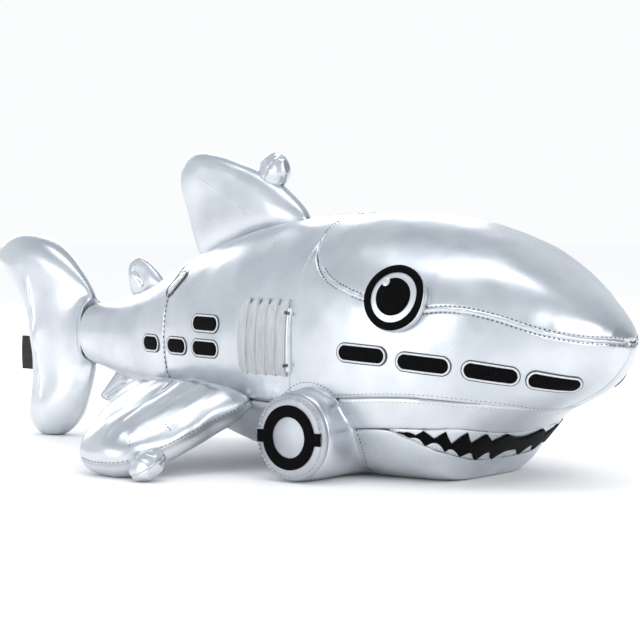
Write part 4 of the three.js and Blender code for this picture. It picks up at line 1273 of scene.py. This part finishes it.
def dorsal_fin():
    root_z = back_z(DORSAL_FRONT_X)
    front, high = DORSAL_FRONT_X, DORSAL_HEIGHT
    outline = [(front, back_z(front, -1.5))]
    outline += [
        (front - behind, root_z + 2 + high * share)
        for behind, share in ((20, 0.42), (43, 0.68), (84, 0.93), (97, 0.85), (102, 0.54), (96, 0))
    ]
    outline.append((DORSAL_BACK_X - 2, back_z(DORSAL_BACK_X, -1.5)))
    outline += [(x, back_z(x, -2.5)) for x in (DORSAL_BACK_X + 9, (front + DORSAL_BACK_X) / 2)]
    spine = [(front - 42, root_z + 4), (front - 82, root_z + 2 + high * 0.6)]
    bm = fin_pillow(outline, spine, 26, upright)
    stuffed(bm, 0.008, 3.6, 4.5, calm=5.5)
    axis = np.array((DORSAL_BACK_X - front, 0, back_z(DORSAL_BACK_X) - root_z), float)
    upwards = np.array((axis[2], 0, -axis[0])) / np.linalg.norm(axis)
    start = np.array((front, 0, root_z + 1.0))
    attach = ("trunk", "dorsal_fin", start, start + upwards * 13)
    finish_piece(bm, "dorsal_fin_sewn", FOIL, attach, "dorsal_fin", fill=0.85, subdivide=1)
    line = arc_on(outline, 0.03, 0.4)
    edge_rows("dorsal_edge_stitching", attach, line, "dorsal_fin_sewn", (-1.7, 1.7), 0.4)
    x = np.linspace(front + 3, DORSAL_BACK_X - 3, 60)
    bow = 9.5 * np.sin(np.pi * np.linspace(0.02, 0.98, 60)) ** 0.6
    lines = [np.stack([x, side * bow, [back_z(v, 1.0) for v in x]], -1) for side in (-1, 1)]
    sew_rows("dorsal_root_stitching", DARK_THREAD, "trunk", lines, TRUNK_PIECES, thread=0.45)


TAIL_ROOT_Z, TAIL_TOP_Z, TAIL_REACH = 72, 136, 250.6


def tail_outline():
    root = TRUNK_BACK_X
    return [
        (root + 4, TAIL_ROOT_Z), (root - 5, TAIL_ROOT_Z + 22), (-188, TAIL_TOP_Z - 12),
        (-206, TAIL_TOP_Z - 2), (-234, TAIL_TOP_Z), (-TAIL_REACH, TAIL_TOP_Z - 13),
        (-236, TAIL_TOP_Z - 32), (-221, TAIL_ROOT_Z + 14),
        (-214, TAIL_ROOT_Z - 12), (-214, 30), (-217, 10), (-209, 0), (-193, 0), (-177, 13), (-167, 34),
        (root - 4, TAIL_ROOT_Z - 19),
    ]


def tail_fin():
    outline = tail_outline()
    bm = fin_pillow(outline, [(-200, 26), (-213, TAIL_TOP_Z - 28)], 34, upright, spokes=168)
    points = coordinates(bm)
    # the root is a round stump, as wide as the end of the trunk
    near = np.clip((points[:, 0] + 182) / 22, 0, 1) ** 2
    height = np.clip(1 - ((points[:, 2] - TAIL_ROOT_Z) / 21) ** 2, 0, 1) ** 0.5
    points[:, 1] = mix(points[:, 1], np.sign(points[:, 1]) * height * 19, near * 0.9)
    move_to(bm, points)
    stuffed(bm, 0.006, 3.4, 4.5, calm=5.5)
    start = np.array((TRUNK_BACK_X, 0, TAIL_ROOT_Z))
    attach = ("trunk", "tail_fin", start, start - np.array((20, 0, 0)))
    finish_piece(bm, "tail_fin_sewn", FOIL, attach, "tail_fin", fill=0.85, subdivide=1)
    line = arc_on(outline, 0.07, 0.31, 110)
    edge_rows("tail_edge_stitching", attach, line, "tail_fin_sewn", (-1.5, 1.5), 0.4)


def small_fin(name, node, outline, spine, attach, crease):
    bm = fin_pillow(outline, spine, 9.5, upright, spokes=72, rings=32)
    points = coordinates(bm)
    first, second = np.array(crease, float)
    way = second - first
    flat = points[:, [0, 2]]
    share = np.clip(((flat - first) @ way) / (way @ way), 0, 1)
    away = np.linalg.norm(flat - (first + share[:, None] * way), axis=1)
    pinch = 1 - 0.42 * np.exp(-((away / 1.5) ** 2))
    points[:, 1] *= pinch
    points += ripple(points, 6, 41)[:, None] * (0, 0.5, 0)
    move_to(bm, points)
    finish_piece(bm, name, FOIL, attach, node, fill=0.7, subdivide=1)
    line = first + np.linspace(0.02, 0.98, 24)[:, None] * way
    edge_rows(name + "_stitching", attach, line, name, (-4.0, 4.0), 0.45)


def small_fins():
    outline = [
        (-98, back_z(-98, -1)), (-108, back_z(-99, 12)), (-121, back_z(-99, 18)), (-128, back_z(-99, 13)),
        (-127, back_z(-122, 4)), (-122, back_z(-122, -1)), (-110, back_z(-110, -1.5)),
    ]
    start = np.array((-110, 0, back_z(-110, 1)))
    attach = ("trunk", "second_dorsal_fin", start, start + np.array((-1.9, 0, 5.7)))
    small_fin(
        "second_dorsal_fin_sewn", "second_dorsal_fin", outline,
        [(-112, back_z(-110, 6)), (-119, back_z(-110, 11))], attach,
        [(-114, back_z(-110, 5)), (-121, back_z(-110, 13.5))],
    )
    low = belly_z(-138)
    outline = [
        (-118, belly_z(-118, -1)), (-129, belly_z(-129, -1.5)), (-138, belly_z(-138, -0.5)), (-150, low - 12),
        (-155, low - 18), (-148, low - 21), (-132, low - 16),
    ]
    start = np.array((-129, 0, belly_z(-129, 0.5)))
    attach = ("trunk", "anal_fin", start, start + np.array((-1.5, 0, -6)))
    small_fin(
        "anal_fin_sewn", "anal_fin", outline,
        [(-134, belly_z(-134, 7)), (-144, belly_z(-134, 14))], attach,
        [(-131, belly_z(-134, 8)), (-147, belly_z(-134, 16))],
    )


PECTORAL_FRONT_X, PECTORAL_BACK_X, PECTORAL_REACH = 31, -80, 77
PECTORAL_ROOT_Z, PECTORAL_TIP_Z = BELLY_SEAM_HEIGHT - 2, 8
PECTORAL_SLOPE = (PECTORAL_ROOT_Z - PECTORAL_TIP_Z) / PECTORAL_REACH


def root_out(x, gap=0.0):
    return -float(side_point(np.array([x]), PECTORAL_ROOT_Z)[0, 1]) + gap


PECTORAL_FRONT_OUT = root_out(PECTORAL_FRONT_X, 2.2)


def on_pectoral(x, out, w):
    """The fin slopes down to the floor; w is square to its slope."""
    length = math.hypot(1, PECTORAL_SLOPE)
    z = PECTORAL_ROOT_Z - PECTORAL_SLOPE * np.maximum(0, out - np.minimum(out, PECTORAL_FRONT_OUT))
    near = np.clip((PECTORAL_FRONT_OUT + 8 - out) / 16, 0, 1)
    lift = w * mix(1.0, 0.6, near)
    return np.stack([x, -out - lift * PECTORAL_SLOPE / length, np.maximum(FLOOR, z + lift / length)], -1)


def pectoral_outline():
    front_out, reach = PECTORAL_FRONT_OUT, PECTORAL_REACH
    return [
        (PECTORAL_FRONT_X, front_out - 4), (24, front_out + reach * 0.36), (15, front_out + reach * 0.68),
        (4, front_out + reach * 0.93), (-14, front_out + reach), (-36, front_out + reach * 0.93),
        (-51, front_out + reach * 0.6), (-66, front_out + reach * 0.12),
        (PECTORAL_BACK_X, root_out(PECTORAL_BACK_X, 1)), (-64, root_out(-64, -3)), (-26, root_out(-26, -3)),
    ]


def pectoral_fins():
    outline = pectoral_outline()
    middle = PECTORAL_FRONT_OUT
    spine = [(-14, middle + 8), (-14, middle + PECTORAL_REACH - 22)]
    bm = fin_pillow(outline, spine, 31, on_pectoral, spokes=160, rings=60)
    points = coordinates(bm)
    seam = bm.verts.layers.float["seam"]
    rim = np.array([vertex[seam] for vertex in bm.verts])
    # long soft folds run beside the leading edge
    flat = np.stack([points[:, 0] * 0.25 - points[:, 1] * 0.5, points[:, 0] * 1.5, 0 * rim], -1)
    folds = ripple(flat, 16, 51) * 2.2 + ripple(flat, 8, 52) * 0.9
    upper = points[:, 2] > PECTORAL_ROOT_Z - PECTORAL_SLOPE * np.maximum(0, -points[:, 1] - middle)
    points[:, 2] += folds * (1 - rim) * np.where(upper, 1.0, 0.4)
    points[:, 2] = np.maximum(points[:, 2], FLOOR)
    move_to(bm, points)
    stuffed(bm, 0.012, 4, 6)
    front_out, back_out = root_out(PECTORAL_FRONT_X), root_out(PECTORAL_BACK_X)
    outwards = unit(np.array((back_out - front_out, PECTORAL_BACK_X - PECTORAL_FRONT_X, 0.0)))
    start = np.array((PECTORAL_FRONT_X, -front_out, PECTORAL_ROOT_Z)) + outwards
    attach = ("trunk", "pectoral_fin_right", start, start + outwards * 16)
    finish_pair(bm, "pectoral_fin_sewn", FOIL, attach, "pectoral_fin", fill=0.8, subdivide=1)
    rows, surface = bmesh.new(), ["pectoral_fin_sewn_right"]
    line = arc_on(outline, 0.02, 0.44, 110)
    stitch_row(rows, on_pectoral(line[:, 0], line[:, 1], np.full(110, 1.6)), surface, thread=0.5)
    for share in (0.16, 0.27):  # the two darts
        edge = arc_on(outline, share, share + 0.01, 2)[0]
        inner = mix(edge, np.array((-14, middle + 40)), np.linspace(0.04, 0.3, 12)[:, None])
        stitch_row(rows, on_pectoral(inner[:, 0], inner[:, 1], np.full(12, 9.0)), surface, thread=0.45)
    finish_pair(rows, "pectoral_edge_stitching", DARK_THREAD, attach)


# ---------------------------------------------------------------- pods


POD_FOOT = 11  # how far below a pod's middle its fabric starts to bend


def pod(name, node, attach, way, seed, pair, radii, sunk):
    """A small stuffed nub along way, sunk into its fin, crumpled all over, with a seam round its long way."""
    low, high = box_mm(node + ("_right" if pair else ""))
    centre = (low + high) / 2
    way = unit(np.array(way, float))
    bm = bmesh.new()
    bmesh.ops.create_uvsphere(bm, u_segments=64, v_segments=48, radius=1)
    local = coordinates(bm)
    turn = Vector((0, 0, 1)).rotation_difference(Vector(way)).to_matrix()
    foot_share = np.maximum(0, -local[:, 2]) ** 2
    taper = np.where(local[:, 2] < 0, 1 - 0.12 * foot_share, 1 - 0.1 * local[:, 2])
    creases = -np.abs(ripple(local, 0.75, seed)) * 1.6 + ripple(local, 1.4, seed + 1) * 0.9
    longer = 1 + 0.3 * foot_share
    shaped = local * radii * np.stack([taper, taper, longer], -1) + local * creases[:, None]
    seam = np.exp(-((local[:, 0] / 0.06) ** 2)) * 0.5
    shaped -= local * seam[:, None]
    points = shaped @ np.array(turn).T + centre - way * sunk
    points[:, 2] = np.maximum(points[:, 2], FLOOR)
    move_to(bm, points)
    # painted shade: the groove's depth goes into the seam layer, which darkens the foil along the groove
    layer = bm.verts.layers.float.new("seam")
    for vertex, value in zip(bm.verts, seam * 1.2):
        vertex[layer] = value
    finish = finish_pair if pair else finish_piece
    finish(bm, name, FOIL, attach, node, fill=0.75, subdivide=1)


def pods():
    way = np.array((0.55, 0, 0.83))
    foot = middle_mm("dorsal_pod") - POD_FOOT * unit(way)
    attach = ("dorsal_fin", "dorsal_pod", foot, foot + way * 5)
    pod("dorsal_pod_sewn", "dorsal_pod", attach, way, 61, False, radii=(11.5, 8.0, 11.5), sunk=6.0)
    way = np.array((0.83, -0.55, 0))
    foot = middle_mm("pectoral_pod_right") - POD_FOOT * way
    attach = ("pectoral_fin_right", "pectoral_pod_right", foot, foot + way * 5)
    pod("pectoral_pod_sewn", "pectoral_pod", attach, way, 62, True, radii=(9.3, 12.0, 12.0), sunk=3.0)


# ---------------------------------------------------------------- label


def woven_label():
    """A black tape folded in half, its cut ends caught in the tail's rear seam."""
    low, high = box_mm("woven_label")
    length, height = high[0] - low[0], high[2] - low[2]
    bm = slab(60, 20)
    a, b, layer = coordinates(bm).T
    run = (2 * a - 1) * length
    out = length - np.sqrt(run**2 + 0.3) + 0.3
    across = np.sign(run) * np.minimum(0.45, np.abs(run) * 0.6) + (layer - 0.5) * 0.28 * np.sign(run + 1e-6)
    wave = 0.9 * np.sin(out / length * 2.6) + 0.4 * np.sin(b * 4 + out / 5)
    x = high[0] + 2.5 - out * (length + 2.5) / length
    z = mix(low[2], high[2], b) + 0.5 * np.sin(out / length * 2) - 0.4
    move_to(bm, np.stack([x, across + wave * np.clip(out / 4, 0, 1), z], -1))
    bmesh.ops.recalc_face_normals(bm, faces=bm.faces)
    piece = finish_piece(bm, "woven_label_tape", TAPE, "label", "woven_label", slot="label", sharp=50)


# ---------------------------------------------------------------- stage, light and camera


def studio():
    stage_material, tree, feed = new_material("matt_paper_sweep", Roughness=0.9)
    feed(Base_Color=two_tone(tree, pattern(tree, 3, detail=3), 0.3, 0.7, "#f2f3f4", "#f6f7f8"))
    bm = bmesh.new()
    bmesh.ops.create_circle(bm, cap_ends=True, segments=96, radius=6)
    mesh = bpy.data.meshes.new("floor")
    bm.to_mesh(mesh)
    bm.free()
    mesh.materials.append(stage_material)
    floor = bpy.data.objects.new("floor", mesh)
    bpy.context.scene.collection.objects.link(floor)

    world = bpy.data.worlds.new("studio")
    bpy.context.scene.world = world
    world.use_nodes = True
    tree = world.node_tree
    tree.nodes.clear()
    seen = add_node(tree, "ShaderNodeLightPath").outputs["Is Camera Ray"]
    mirrored_ray = add_node(tree, "ShaderNodeLightPath").outputs["Is Glossy Ray"]
    # what the foil reflects: light walls and ceiling, darker on the side the nose points to
    direction = add_node(tree, "ShaderNodeTexCoord").outputs["Generated"]
    height = add_node(tree, "ShaderNodeSeparateXYZ", {"Vector": direction}).outputs["Z"]
    walls = two_tone(tree, height, 0.45, 0.95, "#dfe4ea", "#b4bbc4")
    towards = add_node(
        tree, "ShaderNodeVectorMath", {0: direction, 1: (0.86, 0.42, 0.1)}, operation="DOT_PRODUCT"
    )
    walls = blended(tree, ranged(tree, towards.outputs["Value"], 0.6, 0.9, 0, 0.85), walls, "#59616b")
    room = add_node(tree, "ShaderNodeBackground", {"Color": walls, "Strength": 1.0})
    even = add_node(tree, "ShaderNodeBackground", {"Color": linear("#fbfcfd"), "Strength": 1.1})
    backdrop = add_node(tree, "ShaderNodeBackground", {"Color": linear("#fbfcfd"), "Strength": 1.0})
    unseen = add_node(
        tree, "ShaderNodeMixShader",
        {0: mirrored_ray, 1: even.outputs["Background"], 2: room.outputs["Background"]},
    )
    either = add_node(
        tree, "ShaderNodeMixShader", {0: seen, 1: unseen.outputs["Shader"], 2: backdrop.outputs["Background"]}
    )
    add_node(tree, "ShaderNodeOutputWorld", {"Surface": either.outputs["Shader"]})


def softbox(name, place, aim, size, watts, colour="#ffffff"):
    light = bpy.data.lights.new(name, "AREA")
    light.shape = "RECTANGLE"
    light.size, light.size_y = size
    light.energy = watts
    light.color = linear(colour)[:3]
    box = bpy.data.objects.new(name, light)
    box.location = place
    box.rotation_euler = (Vector(aim) - Vector(place)).to_track_quat("-Z", "Y").to_euler()
    box.visible_camera = False
    bpy.context.scene.collection.objects.link(box)


CAMERA_AZIMUTH, CAMERA_PITCH, CAMERA_DISTANCE = 38.0, 3.3, 1.3
CAMERA_LENS = 118.7
CAMERA_TARGET = (0.0308, 0, 0.0865)


def camera_and_lights():
    azimuth, pitch = math.radians(CAMERA_AZIMUTH), math.radians(CAMERA_PITCH)
    level = math.cos(pitch)
    back = Vector((math.sin(azimuth) * level, -math.cos(azimuth) * level, math.sin(pitch)))
    target = Vector(CAMERA_TARGET)
    data = bpy.data.cameras.new("camera")
    data.sensor_width = 36
    data.lens = CAMERA_LENS
    camera = bpy.data.objects.new("camera", data)
    camera.location = target + back * CAMERA_DISTANCE
    camera.rotation_euler = (-back).to_track_quat("-Z", "Y").to_euler()
    bpy.context.scene.collection.objects.link(camera)
    bpy.context.scene.camera = camera

    right = Vector((math.cos(azimuth), math.sin(azimuth), 0))
    up = Vector((0, 0, 1))
    flat_back = Vector((back.x, back.y, 0)).normalized()
    middle = Vector((0, 0, 0.08))
    softbox("overhead", middle + up * 1.3 + flat_back * 0.25, middle, (1.2, 0.5), 4)
    softbox("key", middle + up * 0.75 + flat_back * 1.5 + right * 1.0, middle, (0.9, 0.9), 7)
    softbox("fill", middle + up * 0.35 + flat_back * 1.3 - right * 1.5, middle, (1.0, 0.8), 5)
    softbox("behind", middle + up * 0.7 - flat_back * 1.6 - right * 0.4, middle, (1.6, 0.7), 9)


bpy.context.scene.view_settings.view_transform = "Standard"
camera_and_lights()
studio()
stuff_trunk()
sew_trunk()
crown_tape()
trunk_stitching()
zigzag_mouth()
eyes()
windows()
back_patches()
gill_blocks()
boss_barrels()
boss_rings()
dorsal_fin()
tail_fin()
small_fins()
pectoral_fins()
pods()
woven_label()
